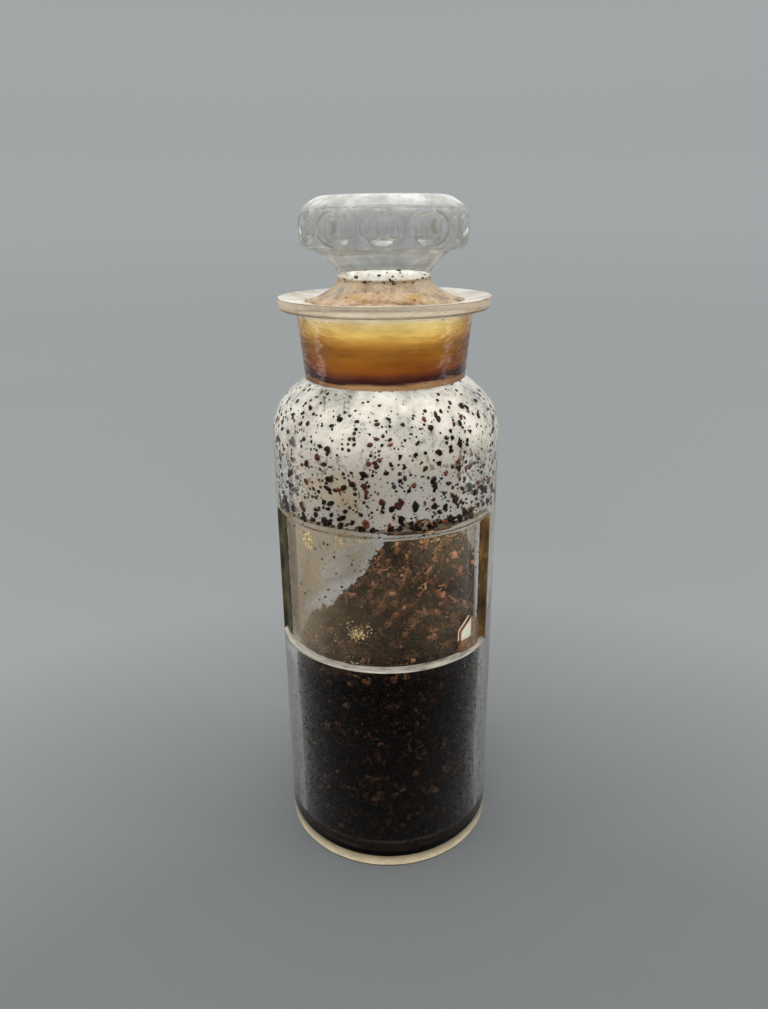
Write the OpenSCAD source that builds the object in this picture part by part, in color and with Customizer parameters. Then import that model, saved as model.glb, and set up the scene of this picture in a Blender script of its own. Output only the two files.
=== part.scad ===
// Wide-mouth shop bottle with a sunk label panel and a hollow ground stopper.
// The origin is the middle of the base, +Z is up and the label panel faces -Y.
// Azimuths are in degrees round +Z from -Y, positive towards +X.

/* [Glass body] */
// Outside diameter of the straight body
body_d = 75; // [70:0.5:90]
// Thickness of the body's glass
wall_t = 4.2; // [3:0.1:5]
// Height at which the straight wall ends and the shoulder starts
shoulder_z = 152; // [148:0.5:170]
// Outside radius of the shoulder's curve
shoulder_r = 18.5; // [14:0.5:20]
// How far the shoulder's curve turns before it runs straight to the neck
shoulder_turn = 50; // [44:1:56]
// Thickness of the glass floor
floor_t = 4.6; // [3.5:0.1:8]
// Inside radius between floor and wall
floor_corner_r = 5; // [2:0.5:8]
// Outside radius at the foot
foot_r = 2.4; // [1:0.1:3.5]
// Height of the push-up under the base
push_up = 1.4; // [0.5:0.1:2.5]
// Width of the ring that the bottle stands on
stand_ring_w = 6; // [4:0.5:9]

/* [Neck and lip] */
// Outside diameter of the neck where it leaves the shoulder
neck_foot_d = 52; // [51:0.1:54]
// Outside diameter of the neck under the lip
neck_top_d = 56.2; // [54.5:0.1:60]
// Height from the foot of the neck to the top of the lip
neck_h = 24.7; // [23:0.1:32]
// Outside diameter of the lip
lip_d = 67.8; // [64:0.1:74]
// Thickness of the lip
lip_t = 3.6; // [2.8:0.1:5]
// How far the lip's lower edge stands back from its upper edge
lip_slant = 1; // [0:0.1:1.8]
// How far the lip's top falls towards the socket
lip_dish = 1.3; // [0.5:0.1:2]

/* [Ground joint] */
// Diameter of the ground socket at its mouth
socket_top_d = 50.4; // [49.6:0.1:51]
// Diameter of the ground socket at its foot
socket_foot_d = 45.6; // [44.8:0.1:46]
// Radial gap between plug and socket
joint_gap = 0.07; // [0.03:0.01:0.1]
// Height of the ground plug
plug_h = 21; // [18:0.5:22]
// Thickness of the plug's glass
plug_wall = 2.8; // [2.2:0.1:3.4]
// Width of the hardened resin under the plug
resin_w = 1.3; // [0.8:0.1:1.3]

/* [Stopper] */
// Diameter of the knob over the ridges between its thumbprints
knob_d = 53.2; // [48:0.2:58]
// Height of the knob's thick edge
knob_h = 16.4; // [14:0.2:20]
// Height of the whole stopper over the lip
stopper_rise = 30; // [28:0.2:34]
// Diameter of the waist under the knob
waist_d = 28.4; // [26:0.2:32]
// Diameter of the foot that flares out over the plug
foot_flare_d = 45; // [40:0.2:46]
// Diameter of the hollow inside the waist
waist_hollow_d = 19.6; // [12:0.2:20]
// Height of the knob's lower edge over the roof of the hollow
hollow_drop = 3.1; // [2:0.1:6]
// Number of thumbprints round the knob
thumbprints = 12; // [10:1:14]
// How far the stopper is turned in its socket from the panel's middle
knob_turn = 6.4; // [0:0.1:30]
// Radius of the thumb-shaped hollow
thumb_r = 18; // [14:0.5:24]
// Depth of each thumbprint
thumb_depth = 1.9; // [1:0.1:2.2]

/* [Label panel] */
// Height of the panel's lower edge over the base
panel_z = 80.5; // [60:0.5:90]
// Height of the panel from edge to edge
panel_h = 47.9; // [40:0.1:55]
// Depth of the panel in the glass
panel_depth = 1.5; // [0.8:0.1:1.8]
// Height of the sloped ledge along the panel's top and bottom
ledge_h = 2; // [1:0.1:3]
// Half of the angle that the panel's floor covers
panel_half_angle = 68.5; // [60:0.5:74]
// Angle that the ramp at each end of the panel covers
panel_ramp = 2.5; // [2:0.5:8]
// Height of the inner shelf's slope, behind the ledge
shelf_h = 0.9; // [0.6:0.1:1.6]

/* [Contents] */
// Height of the crumbs at the low side
heap_z = 75; // [50:1:85]
// Azimuth of the side that the crumbs are banked against
bank_az = 137; // [110:1:160]
// Rise of the slope per millimetre
bank_slope = 0.6; // [0.3:0.05:0.8]
// Height of the step halfway up the bank
bank_step = 12; // [0:1:14]
// Height of the lumps in the crumbs
lump_h = 0.8; // [0:0.1:1.2]
// Gap between the packed crumbs and the glass
bed_gap = 0.15; // [0.1:0.05:0.4]
// Number of loose grains on the bed
grain_count = 72; // [20:1:80]
// Radius of the largest loose grain
grain_r = 1.9; // [1.2:0.1:2]
// Number of crumbs on the inside of the shoulder
shoulder_crumb_count = 110; // [20:1:140]
// Radius of the largest crumb on the shoulder
shoulder_crumb_r = 1.1; // [0.6:0.1:1.2]
// Number of crumbs along the inner shelf
shelf_crumb_count = 40; // [10:1:44]
// Radius of the largest crumb on the shelf
shelf_crumb_r = 0.85; // [0.5:0.05:0.9]
// Number of crumbs inside the stopper
stopper_crumb_count = 14; // [4:1:16]
// Radius of the largest crumb inside the stopper
stopper_crumb_r = 0.75; // [0.4:0.05:0.8]
// Gap between a crumb and the glass that it clings to
crumb_gap = 0.05; // [0.02:0.01:0.15]

/* [Label remains] */
// Azimuth of the middle of the broken corner of label glass
shard_az = 55.5; // [40:0.5:57]
// Thickness of the label glass
shard_t = 1.05; // [0.6:0.05:1.1]
// Thickness of the paint and gold behind it
paint_t = 0.2; // [0.1:0.05:0.3]
// Gap between the panel and what is stuck to it
stick_gap = 0.05; // [0.02:0.01:0.1]
// Width of the gold border
border_w = 3.2; // [2:0.1:4]
// Angle between a border strip and the end of the panel's floor
strip_inset = 0.3; // [0.2:0.1:3]
// Width of the border strip that is left on the left
strip_left_w = 4.4; // [2:0.1:5]
// Width of the border strip that is left on the right
strip_right_w = 2.7; // [2:0.1:5]
// Thickness of the border strips
strip_t = 0.5; // [0.3:0.05:1]
// Thickness of a flake of gold leaf with its cement
flake_t = 0.2; // [0.1:0.05:0.3]
// Width of the widest flake
flake_w = 2.8; // [2:0.1:3]

/* [Hidden] */

round_fn = 120;       // segments of a full turn in the preview
arc_step = 7.5;       // degrees between the points of a rounded corner
golden_turn = 137.5;  // degrees from one scattered crumb to the next
straight_half = 89.5; // half angle in degrees over which a corner counts as straight

body_r = body_d / 2;
bore_r = body_r - wall_t;
shoulder_bore_r = shoulder_r - wall_t;
socket_top_r = socket_top_d / 2;
socket_foot_r = socket_foot_d / 2;
cone_rise = tan(90 - shoulder_turn);
crease_z = cone_z(0, neck_foot_d / 2);
lip_z = crease_z + neck_h;
socket_top_z = lip_z - lip_dish;
socket_foot_z = cone_z(wall_t, socket_foot_r);
dome_r = body_r - foot_r - stand_ring_w;

plug_top_z = socket_top_z;
plug_foot_z = plug_top_z - plug_h;
knob_top_z = lip_z + stopper_rise;
knob_low_z = knob_top_z - knob_h;
waist_z = (knob_low_z + lip_z) / 2;
hollow_roof_z = knob_low_z - hollow_drop;
hollow_dome_r = 0.22 * waist_hollow_d;
thumb_z = knob_low_z + 0.45 * knob_h;

panel_floor_r = body_r - panel_depth;
panel_low_z = panel_z + ledge_h;
panel_high_z = panel_z + panel_h - ledge_h;
shelf_over = 0.4 * wall_t;
shelf_z = panel_high_z + shelf_over + shelf_h;
lay_r = panel_floor_r + stick_gap;

bank_start = -2;      // distance along the bank's direction at which the slope starts
step_start = 11;      // distance at which the step starts
step_run = 14;        // length of the step
lump_pitch = 15;      // degrees of lump per millimetre

// Outline of the broken label corner, across from its middle and up from the panel's floor line
shard_outline = [[-5.1, 0.2], [3.4, 0.1], [4.6, 1.3], [4.3, 9.5], [0, 11.9], [-5.1, 7.9]];
shard_margin = 1;     // clear glass past the gold border
shard_border_x = max([for (p = shard_outline) p.x]) - shard_margin - border_w;
shard_border_z = min([for (p = shard_outline) p.y]) + shard_margin + border_w;
span_past = 10;       // how far the shape of the panel's ends runs past its edges
ramp_past = 8;        // how far the plane of an end ramp runs on past the panel's floor line, each way

// Flakes of gold leaf: azimuth, height as a share of the panel's, width and height as shares of flake_w,
// and number of corners
flakes = [[-36.5, 0.89, 0.92, 1.56, 6], [-32.2, 0.87, 0.78, 1.06, 5], [-16, 0.92, 0.5, 0.7, 5],
          [-12.5, 0.35, 0.42, 0.34, 5], [-10, 0.317, 0.7, 0.56, 6], [-7.4, 0.28, 0.85, 0.78, 7],
          [-5, 0.322, 0.48, 0.42, 5], [-4, 0.242, 0.78, 0.64, 6], [-9.4, 0.225, 0.5, 0.42, 5],
          [-1.2, 0.272, 0.42, 0.5, 5], [30, 0.93, 1, 0.32, 6], [33.8, 0.923, 0.5, 0.36, 5],
          [60.5, 0.76, 0.36, 0.86, 5]];

// A point in plan at a radius and an azimuth
function at(r, az) = [r * sin(az), -r * cos(az)];
function unit(v) = v / norm(v);
function flat(p) = [p.x, p.y];
// A repeatable value from 0 to 1 for item k
function chance(k, salt) = let (v = sin(k * 127.1 + salt * 311.7) * 4375.85) v - floor(v);
function smooth(t) = let (c = max(0, min(1, t))) c * c * (3 - 2 * c);
// Height at which the shoulder's straight cone, set in by some distance, has radius r
function cone_z(inset, r) =
    shoulder_z + (shoulder_r - inset) * tan(shoulder_turn / 2) + (body_r - inset - r) * cone_rise;
function shoulder_corner(inset) =
    [body_r - inset, shoulder_z + (shoulder_r - inset) * tan(shoulder_turn / 2), shoulder_r - inset];
function socket_r(z) =
    socket_foot_r + (socket_top_r - socket_foot_r) * (z - socket_foot_z) / (socket_top_z - socket_foot_z);
// An angle brought to between -180 and 180 degrees
function half_turn(angle) = angle > 180 ? angle - 360 : angle < -180 ? angle + 360 : angle;
// Height of the push-up's dome over its rim
function dome(r) = push_up * (1 - pow(min(r / dome_r, 1), 2));

// Points of the arc that rounds the corner b between a and c, of radius most or as much as the sides take
function corner(a, b, c, most) =
    let (u = unit(a - b), v = unit(c - b), half = acos(max(-1, min(1, u * v))) / 2,
         r = min(most, 0.6 * min(norm(a - b), norm(c - b)) * tan(half)))
    r <= 0 || half > straight_half ? [b] :
    let (start = b + u * r / tan(half), stop = b + v * r / tan(half), mid = b + unit(u + v) * r / sin(half),
         from = atan2(start.y - mid.y, start.x - mid.x), to = atan2(stop.y - mid.y, stop.x - mid.x),
         sweep = half_turn(to - from), n = max(1, ceil(abs(sweep) / arc_step)))
    [for (i = [0:n]) mid + r * [cos(from + sweep * i / n), sin(from + sweep * i / n)]];
// An outline of [radius, height, rounding] corners as plain points
function rounded(p) =
    let (n = len(p))
    [for (i = [0:n - 1]) each corner(flat(p[(i + n - 1) % n]), flat(p[i]), flat(p[(i + 1) % n]), p[i].z)];

// Inside of the body from the middle of the floor to the foot of the socket, set in by a gap
function cavity_side(gap) = [
    each [for (i = [0:5]) let (r = dome_r * i / 5) [r, floor_t + dome(r) + gap, 0]],
    [bore_r - gap, floor_t + gap, floor_corner_r],
    shoulder_corner(wall_t + gap)];

// The bottle's section: up the outside, over the lip and down the inside to the middle of the floor
function bottle_outline() =
    let (inside = cavity_side(0), last = len(inside) - 1)
    [each [for (i = [0:5]) let (r = dome_r * i / 5) [r, dome(r), 0]],
     [body_r, 0, foot_r],
     shoulder_corner(0),
     [neck_foot_d / 2, crease_z, 0.7],
     [neck_top_d / 2, lip_z - lip_t, 2],
     [lip_d / 2 - lip_slant, lip_z - lip_t + 0.2, 0.9],
     [lip_d / 2, lip_z, 0.4],
     [socket_top_r, socket_top_z, 0.5],
     [socket_foot_r, socket_foot_z, 1.6],
     each [for (i = [last:-1:0]) inside[i]]];

module turned(outline) {
    rotate_extrude($fn = round_fn) polygon(rounded(outline));
}

// The front of the bottle between the panel's two end ramps, moved into the glass by inset
module panel_span(inset) {
    foot = at(panel_floor_r, panel_half_angle);
    ramp = unit(at(body_r, panel_half_angle + panel_ramp) - foot);
    shifted = foot + inset * [-ramp.y, ramp.x];
    inner = shifted - ramp_past * ramp;
    outer = shifted + ramp_past * ramp;
    polygon([inner, outer, [body_d, outer.y], [body_d, -body_d], [-body_d, -body_d], [-body_d, outer.y],
             [-outer.x, outer.y], [-inner.x, inner.y]]);
}

// What is cut out of the wall for the label panel
module panel_recess() {
    past = 2;
    run_out = ledge_h * past / panel_depth;
    intersection() {
        rotate_extrude($fn = round_fn) polygon([
            [panel_floor_r, panel_low_z], [body_r + past, panel_z - run_out],
            [body_r + past, panel_z + panel_h + run_out], [panel_floor_r, panel_high_z]]);
        translate([0, 0, panel_z - span_past]) linear_extrude(panel_h + 2 * span_past) panel_span(0);
    }
}

// The swelling of the inner wall behind the panel, grown by a gap; its top is the inner shelf
module panel_bulge(gap) {
    face_r = panel_floor_r - wall_t - gap;
    low = panel_low_z - shelf_over - gap;
    high = panel_high_z + shelf_over + gap;
    root_r = bore_r + 0.6;
    slope = shelf_h / panel_depth;
    intersection() {
        rotate_extrude($fn = round_fn) polygon([
            [face_r, low], [root_r, low - slope * (root_r - face_r)],
            [root_r, high + slope * (root_r - face_r)], [face_r, high]]);
        translate([0, 0, panel_z - span_past]) linear_extrude(panel_h + 2 * span_past) panel_span(wall_t + gap);
    }
}

module bottle() {
    color("lightcyan", 0.4) difference() {
        union() {
            turned(bottle_outline());
            panel_bulge(0);
        }
        panel_recess();
    }
}

// The stopper's section: over the knob, down the waist and plug, and back up inside the hollow
function stopper_outline() =
    let (knob_r = knob_d / 2, waist_r = waist_d / 2, hollow_r = waist_hollow_d / 2,
         plug_top_r = socket_r(plug_top_z) - joint_gap, plug_foot_r = socket_r(plug_foot_z) - joint_gap)
    [[0, knob_top_z, 0],
     [knob_r - 6.6, knob_top_z - 0.3, 1.5],
     [knob_r - 1.7, knob_top_z - 3.5, 3.2],
     [knob_r + 0.8, knob_low_z + 0.43 * knob_h, 11.5],
     [knob_r - 1.2, knob_low_z + 1.1, 3],
     [knob_r - 6.4, knob_low_z - 0.2, 4],
     [waist_r + 2.2, knob_low_z - 1.7, 3],
     [waist_r - 0.5, waist_z, 6],
     [waist_r + 2.4, lip_z + 2.2, 3],
     [foot_flare_d / 2, socket_top_z + 0.4, 2],
     [plug_top_r, socket_top_z, 0.8],
     [plug_foot_r, plug_foot_z, 1],
     [plug_foot_r - plug_wall, plug_foot_z, 0.9],
     [socket_r(socket_top_z - 6) - joint_gap - plug_wall - 0.4, socket_top_z - 6, 5],
     [hollow_r, lip_z + 1.6, 5],
     [hollow_r, hollow_roof_z, hollow_dome_r],
     [0, hollow_roof_z, 0]];

module stopper() {
    print_r = knob_d / 2 - thumb_depth + thumb_r;
    color("azure", 0.5) difference() {
        turned(stopper_outline());
        for (i = [0:thumbprints - 1])
            translate([each at(print_r, knob_turn + i * 360 / thumbprints), thumb_z]) sphere(thumb_r, $fn = 72);
    }
}

// Resin that ran down the ground joint and set in a ring under the plug
module joint_resin() {
    top_z = plug_foot_z - 0.35;
    low_z = socket_foot_z + 1.4;
    color("saddlebrown", 0.8) rotate_extrude($fn = round_fn) polygon([
        [socket_r(low_z) - stick_gap, low_z], [socket_r(top_z) - stick_gap, top_z],
        [socket_r(top_z) - resin_w, top_z], [socket_r(low_z) - 0.4 * resin_w, low_z]]);
}

// Height of the crumbs' surface: low at the front left, a slope, and a step up to the bank
function heap_top(x, y) =
    let (u = x * sin(bank_az) - y * cos(bank_az))
    heap_z + bank_slope * max(0, u - bank_start) + bank_step * smooth((u - step_start) / step_run)
    + lump_h * (sin(x * lump_pitch) * cos(y * lump_pitch * 1.3) + sin((x + y) * lump_pitch * 0.7));

// Everything under the crumbs' surface, as rings and spokes that reach past the wall
module heap_block() {
    rings = 14;
    spokes = 48;
    reach = body_r + 1;
    top = [for (j = [1:rings], i = [0:spokes - 1])
        let (p = at(reach * j / rings, i * 360 / spokes)) [p.x, p.y, heap_top(p.x, p.y)]];
    rim = [for (i = [0:spokes - 1]) [each at(reach, i * 360 / spokes), -1]];
    peak = len(top);
    low = peak + 1;
    function ring(j, i) = j * spokes + i % spokes;
    polyhedron(
        [each top, [0, 0, heap_top(0, 0)], each rim],
        [each [for (i = [0:spokes - 1]) [peak, ring(0, i), ring(0, i + 1)]],
         each [for (j = [0:rings - 2], i = [0:spokes - 1]) each [
             [ring(j, i), ring(j + 1, i), ring(j + 1, i + 1)],
             [ring(j, i), ring(j + 1, i + 1), ring(j, i + 1)]]],
         each [for (i = [0:spokes - 1]) let (n = (i + 1) % spokes) each [
             [ring(rings - 1, i), low + i, low + n],
             [ring(rings - 1, i), low + n, ring(rings - 1, i + 1)]]],
         [for (i = [spokes - 1:-1:0]) low + i]]);
}

module contents() {
    color("saddlebrown") difference() {
        intersection() {
            turned([each cavity_side(bed_gap), [0, shoulder_z, 0]]);
            heap_block();
        }
        panel_bulge(bed_gap);
    }
}

// A broken crumb that just fits in a ball of radius r
module crumb(r, k) {
    rotate([360 * chance(k, 1), 360 * chance(k, 2), 0])
        cylinder(h = 1.3 * r, r = 0.76 * r, center = true, $fn = 5);
}

// Lowest height of a ball's centre at which the ball rests on the crumbs' surface
function rest_z(x, y, r) = max([for (a = [0:45:315], s = [0, 0.5, 0.9])
    heap_top(x + s * r * cos(a), y + s * r * sin(a)) + r * sqrt(1 - s * s)]);

module loose_grains() {
    reach = panel_floor_r - wall_t - grain_r - 0.6;
    color("sienna") for (k = [0:grain_count - 1]) {
        r = grain_r * (0.7 + 0.3 * chance(k, 3));
        p = at(reach * sqrt((k + 0.5) / grain_count), k * golden_turn);
        translate([p.x, p.y, rest_z(p.x, p.y, r) + 0.25]) crumb(r, k);
    }
}

// Radius and height, at a way up the inner wall and shoulder, for a ball of radius r that touches it
function wall_seat(way, r) =
    let (low = shelf_z + 1.5, straight = shoulder_z - low,
         angle = (way - straight) / shoulder_bore_r * 180 / PI, reach = shoulder_bore_r - crumb_gap - r)
    way < straight ? [bore_r - crumb_gap - r, low + way]
    : [body_r - shoulder_r + reach * cos(angle), shoulder_z + reach * sin(angle)];

module shoulder_crumbs() {
    way_up = shoulder_z - shelf_z - 1.5 + shoulder_bore_r * (shoulder_turn - 4) * PI / 180;
    color("maroon") for (k = [0:shoulder_crumb_count - 1]) {
        r = shoulder_crumb_r * (0.35 + 0.65 * pow(chance(k, 4), 2));
        seat = wall_seat(way_up * (k + 0.5) / shoulder_crumb_count, r);
        translate([each at(seat.x, k * golden_turn), seat.y]) crumb(r, k + 500);
    }
}

// Each crumb lies in the corner between the wall and the sloping shelf
module shelf_crumbs() {
    slope = shelf_h / panel_depth;
    color("maroon") for (k = [0:shelf_crumb_count - 1]) {
        r = shelf_crumb_r * (0.5 + 0.5 * chance(k, 5));
        seat_r = bore_r - crumb_gap - r;
        az = (panel_half_angle - 4) * (2 * (k + 0.5) / shelf_crumb_count - 1);
        z = shelf_z - slope * (bore_r - seat_r) + (r + crumb_gap) * sqrt(1 + slope * slope);
        translate([each at(seat_r, az), z]) crumb(r, k + 900);
    }
}

// Each crumb clings to the rounded roof of the stopper's hollow
module stopper_crumbs() {
    color("maroon") for (k = [0:stopper_crumb_count - 1]) {
        r = stopper_crumb_r * (0.5 + 0.5 * chance(k, 6));
        turn = 55 * (k + 0.5) / stopper_crumb_count;
        reach = hollow_dome_r - crumb_gap - r;
        translate([each at(waist_hollow_d / 2 - hollow_dome_r + reach * cos(turn), k * golden_turn),
                   hollow_roof_z - hollow_dome_r + reach * sin(turn)]) crumb(r, k + 1300);
    }
}

// A layer that follows the panel's curved floor, between two heights and two azimuths
module floor_layer(r, t, low, high, from_az, to_az) {
    rotate([0, 0, from_az - 90]) rotate_extrude(angle = to_az - from_az, $fn = round_fn)
        translate([r, low]) square([t, high - low]);
}

// Keeps what lies inside an outline that is drawn across from an azimuth and up from a height
module cut_to(az, z) {
    intersection() {
        children(0);
        translate([0, 0, z]) rotate([0, 0, az]) rotate([90, 0, 0]) linear_extrude(body_d) children(1);
    }
}

// A layer of the broken label corner, inside its outline and a second shape
module shard_layer(r, t) {
    cut_to(shard_az, panel_low_z) {
        floor_layer(r, t, panel_low_z, panel_high_z, shard_az - 15, shard_az + 15);
        intersection() {
            polygon(shard_outline);
            children();
        }
    }
}

module white_area() {
    translate([shard_border_x - body_d, shard_border_z]) square([body_d, panel_h]);
}

module label_shard() {
    color("white", 0.5) shard_layer(lay_r + paint_t + stick_gap, shard_t)
        square(body_d, center = true);
}

module label_white_field() {
    color("ivory") shard_layer(lay_r, paint_t) white_area();
}

module label_gold_border() {
    color("goldenrod") shard_layer(lay_r, paint_t) difference() {
        square(body_d, center = true);
        white_area();
    }
}

// A strip of the label's border along one end of the panel; its inner edge is broken
module border_strip(side, w) {
    outer_az = panel_half_angle - strip_inset;
    inner_az = outer_az - w / panel_floor_r * 180 / PI;
    middle = side * (outer_az + inner_az) / 2;
    low = panel_low_z + 0.3;
    tall = panel_high_z - low - 0.3;
    cut_to(middle, low) {
        floor_layer(lay_r, strip_t, low, low + tall, middle - w, middle + w);
        difference() {
            translate([-w / 2, 0]) square([w, tall]);
            for (k = [0:8]) translate([-side * w / 2, tall * (k + chance(k, 7)) / 9])
                circle(r = 0.25 + 0.5 * chance(k, 8), $fn = 7);
        }
    }
}

module border_strip_left() {
    color("darkolivegreen") border_strip(-1, strip_left_w);
}

module border_strip_right() {
    color("darkgoldenrod") border_strip(1, strip_right_w);
}

module gold_flakes() {
    color("gold") for (f = flakes)
        cut_to(f[0], panel_z + f[1] * panel_h) {
            floor_layer(lay_r, flake_t, panel_low_z, panel_high_z, f[0] - 8, f[0] + 8);
            rotate(f[0] / 2) flake(f[2] * flake_w, f[3] * flake_w, f[4]);
        }
}

// A flake with so many corners, as wide and as tall as asked
module flake(w, h, corners) {
    polygon([for (i = [0:corners - 1]) [w / 2 * cos(i * 360 / corners), h / 2 * sin(i * 360 / corners)]]);
}

bottle();
stopper();
joint_resin();
contents();
loose_grains();
shoulder_crumbs();
shelf_crumbs();
stopper_crumbs();
label_shard();
label_white_field();
label_gold_border();
border_strip_left();
border_strip_right();
gold_flakes();
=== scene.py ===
import bpy
import numpy as np
from mathutils import Matrix, Vector


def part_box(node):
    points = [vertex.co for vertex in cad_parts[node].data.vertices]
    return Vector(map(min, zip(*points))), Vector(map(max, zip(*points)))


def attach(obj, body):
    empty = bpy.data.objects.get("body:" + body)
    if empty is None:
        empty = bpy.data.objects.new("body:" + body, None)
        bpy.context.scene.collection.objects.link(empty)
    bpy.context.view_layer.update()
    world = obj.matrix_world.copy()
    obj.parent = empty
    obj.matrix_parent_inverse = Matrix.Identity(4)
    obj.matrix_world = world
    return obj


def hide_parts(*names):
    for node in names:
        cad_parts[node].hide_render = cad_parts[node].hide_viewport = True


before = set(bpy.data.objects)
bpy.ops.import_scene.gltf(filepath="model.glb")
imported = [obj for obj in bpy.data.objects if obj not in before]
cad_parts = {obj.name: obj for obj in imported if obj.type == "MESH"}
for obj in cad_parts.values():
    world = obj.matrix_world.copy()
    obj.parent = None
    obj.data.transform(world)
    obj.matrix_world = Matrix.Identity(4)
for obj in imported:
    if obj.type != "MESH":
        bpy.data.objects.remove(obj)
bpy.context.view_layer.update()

# Apothecary bottle: clear mould-blown glass, a ground hollow stopper, dried crumbs inside.
# Lengths are in millimetres until toMetres; azimuths are degrees from -Y, positive towards +X.

toMetres = 0.001
bottleBody = "bottle_body"
stopperBody = "stopper_body"


# The low and high corner of a node's box, turned from metres into mm
def boxInMm(node):
    return np.array(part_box(node)) / toMetres


bottleBox = boxInMm("bottle")
stopperBox = boxInMm("stopper")
bodyRadius = bottleBox[1][0]
lipRise = 0.5  # the lip is this much thicker than the part's, and the plug's foot this much higher
lipTop = bottleBox[1][2] + lipRise
knobTop = stopperBox[1][2]
plugFoot = stopperBox[0][2] + lipRise

# The glass of the bottle. A "round" is the radius of a rounded corner of its section.
bottle = {
    "wall": 4.2,
    "shoulderZ": 152.0,
    "shoulderRadius": 18.5,
    "shoulderTurn": 50.0,
    "floor": 4.6,
    "floorCorner": 5.0,
    "footRound": 2.4,
    "pushUp": 1.4,
    "standRing": 6.0,
    "neckFoot": 26.0,
    "creaseRound": 0.8,
    "neckTop": 28.1,
    "neckRound": 2.0,
    "lipRadius": 33.9,
    "lipThick": 4.1,
    "lipSlant": 1.0,
    "lipFootRound": 0.9,
    "lipRound": 0.45,
    "lipDish": 1.3,
    "socketTop": 25.2,
    "mouthRound": 0.5,
    "socketFoot": 22.8,
    "socketRound": 1.6,
    "innerWave": 0.035,
    "toolMark": 0.03,
    "turnStep": 2.5,
    "spacing": 1.2,
}
# The sunk panel for the label, and the swelling of the inner wall behind it
panel = {
    "low": 80.5,
    "high": 128.4,
    "depth": 1.5,
    "ledge": 2.0,
    "halfAngle": 68.5,
    "ramp": 2.5,
    "innerSpread": 1.7,
    "innerTurn": 1.6,
    "shelf": 1.2,
}
# The surface of the crumbs: its low side, and the bank with a step that it rises to
heap = {
    "low": 75.0,
    "bank": 137.0,
    "start": -2.0,
    "slope": 0.6,
    "stepStart": 11.0,
    "stepRun": 14.0,
    "step": 12.0,
    "lump": 0.8,
    "pitch": 15.0,
}
arcStep = 5.0  # degrees between the points of a rounded corner


# An outline of [radius, height, rounding] corners becomes points. Each rounded corner is an arc that touches
# both its sides, no larger than 0.6 of the shorter side allows.
def roundedPath(corners):
    corners = np.asarray(corners, float)
    points = [corners[0, :2]]
    for before, here, after in zip(corners[:-2], corners[1:-1], corners[2:]):
        u = before[:2] - here[:2]
        v = after[:2] - here[:2]
        shorter = min(np.hypot(*u), np.hypot(*v))
        u, v = u / np.hypot(*u), v / np.hypot(*v)
        half = np.arccos(np.clip(u @ v, -1, 1)) / 2
        radius = min(here[2], 0.6 * shorter * np.tan(half))
        if radius <= 0 or half > 1.56:
            points.append(here[:2])
            continue
        middle = here[:2] + (u + v) / np.hypot(*(u + v)) * radius / np.sin(half)
        start = here[:2] + u * radius / np.tan(half) - middle
        stop = here[:2] + v * radius / np.tan(half) - middle
        first = np.arctan2(start[1], start[0])
        sweep = (np.arctan2(stop[1], stop[0]) - first + 3 * np.pi) % (2 * np.pi) - np.pi
        turn = first + np.linspace(0, sweep, max(3, int(np.degrees(abs(sweep)) / arcStep) + 1))
        points.extend(middle + radius * np.stack([np.cos(turn), np.sin(turn)], 1))
    points.append(corners[-1, :2])
    return np.array(points)


# Points at even steps of length along a path, found by interpolation over its running length
def evenly(path, spacing):
    along = np.r_[0, np.cumsum(np.hypot(*np.diff(path, axis=0).T))]
    steps = np.linspace(0, along[-1], int(along[-1] / spacing) + 1)
    return np.stack([np.interp(steps, along, path[:, 0]), np.interp(steps, along, path[:, 1])], 1)


# An S curve from 0 to 1: t squared times 3 - 2t
def smooth(t):
    t = np.clip(t, 0, 1)
    return t * t * (3 - 2 * t)


# Height where the shoulder's straight cone, set in from the outside, has the given radius
def coneHeight(inset, radius):
    turn = np.radians(bottle["shoulderTurn"])
    rise = (bottle["shoulderRadius"] - inset) * np.tan(turn / 2)
    return bottle["shoulderZ"] + rise + (bodyRadius - inset - radius) / np.tan(turn)


# The corner where the wall bends in to the shoulder, set in from the outside. Its arc starts at shoulderZ.
def shoulderCorner(inset):
    turn = np.radians(bottle["shoulderTurn"])
    radius = bottle["shoulderRadius"] - inset
    return [bodyRadius - inset, bottle["shoulderZ"] + radius * np.tan(turn / 2), radius]


boreRadius = bodyRadius - bottle["wall"]
lipFoot = lipTop - bottle["lipThick"]
socketTopZ = lipTop - bottle["lipDish"]
socketFootZ = coneHeight(bottle["wall"], bottle["socketFoot"])


# The socket's cone: radius grows evenly from its foot to its mouth
def socketRadius(z):
    t = (z - socketFootZ) / (socketTopZ - socketFootZ)
    return bottle["socketFoot"] + (bottle["socketTop"] - bottle["socketFoot"]) * t


# How far the sunk panel reaches at each azimuth and height, from 0 outside it to 1 on its floor: an S curve
# over the ramp at each end times an S curve over the ledge at its foot and top
def panelShare(azimuth, z, low, high, ledge, halfAngle, ramp):
    turned = (azimuth + 180) % 360 - 180
    across = smooth((halfAngle + ramp - np.abs(turned)) / ramp)
    up = smooth((z - low) / ledge) * smooth((high - z) / ledge)
    return across * up


# The same, for the outside of the wall
def outerShare(azimuth, z):
    p = panel
    return panelShare(azimuth, z, p["low"], p["high"], p["ledge"], p["halfAngle"], p["ramp"])


# Behind the panel the inner wall swells by the same depth; the top of the swelling is the inner shelf
def innerShare(azimuth, z):
    p = panel
    low = p["low"] + p["ledge"] - p["innerSpread"] - p["shelf"]
    high = p["high"] - p["ledge"] + p["innerSpread"] + p["shelf"]
    return panelShare(azimuth, z, low, high, p["shelf"], p["halfAngle"] + p["innerTurn"], p["ramp"])


# Radius of the outside: the body's, less the panel's depth where the panel reaches
def outerRadius(azimuth, z):
    return bodyRadius - panel["depth"] * outerShare(azimuth, z)


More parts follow.
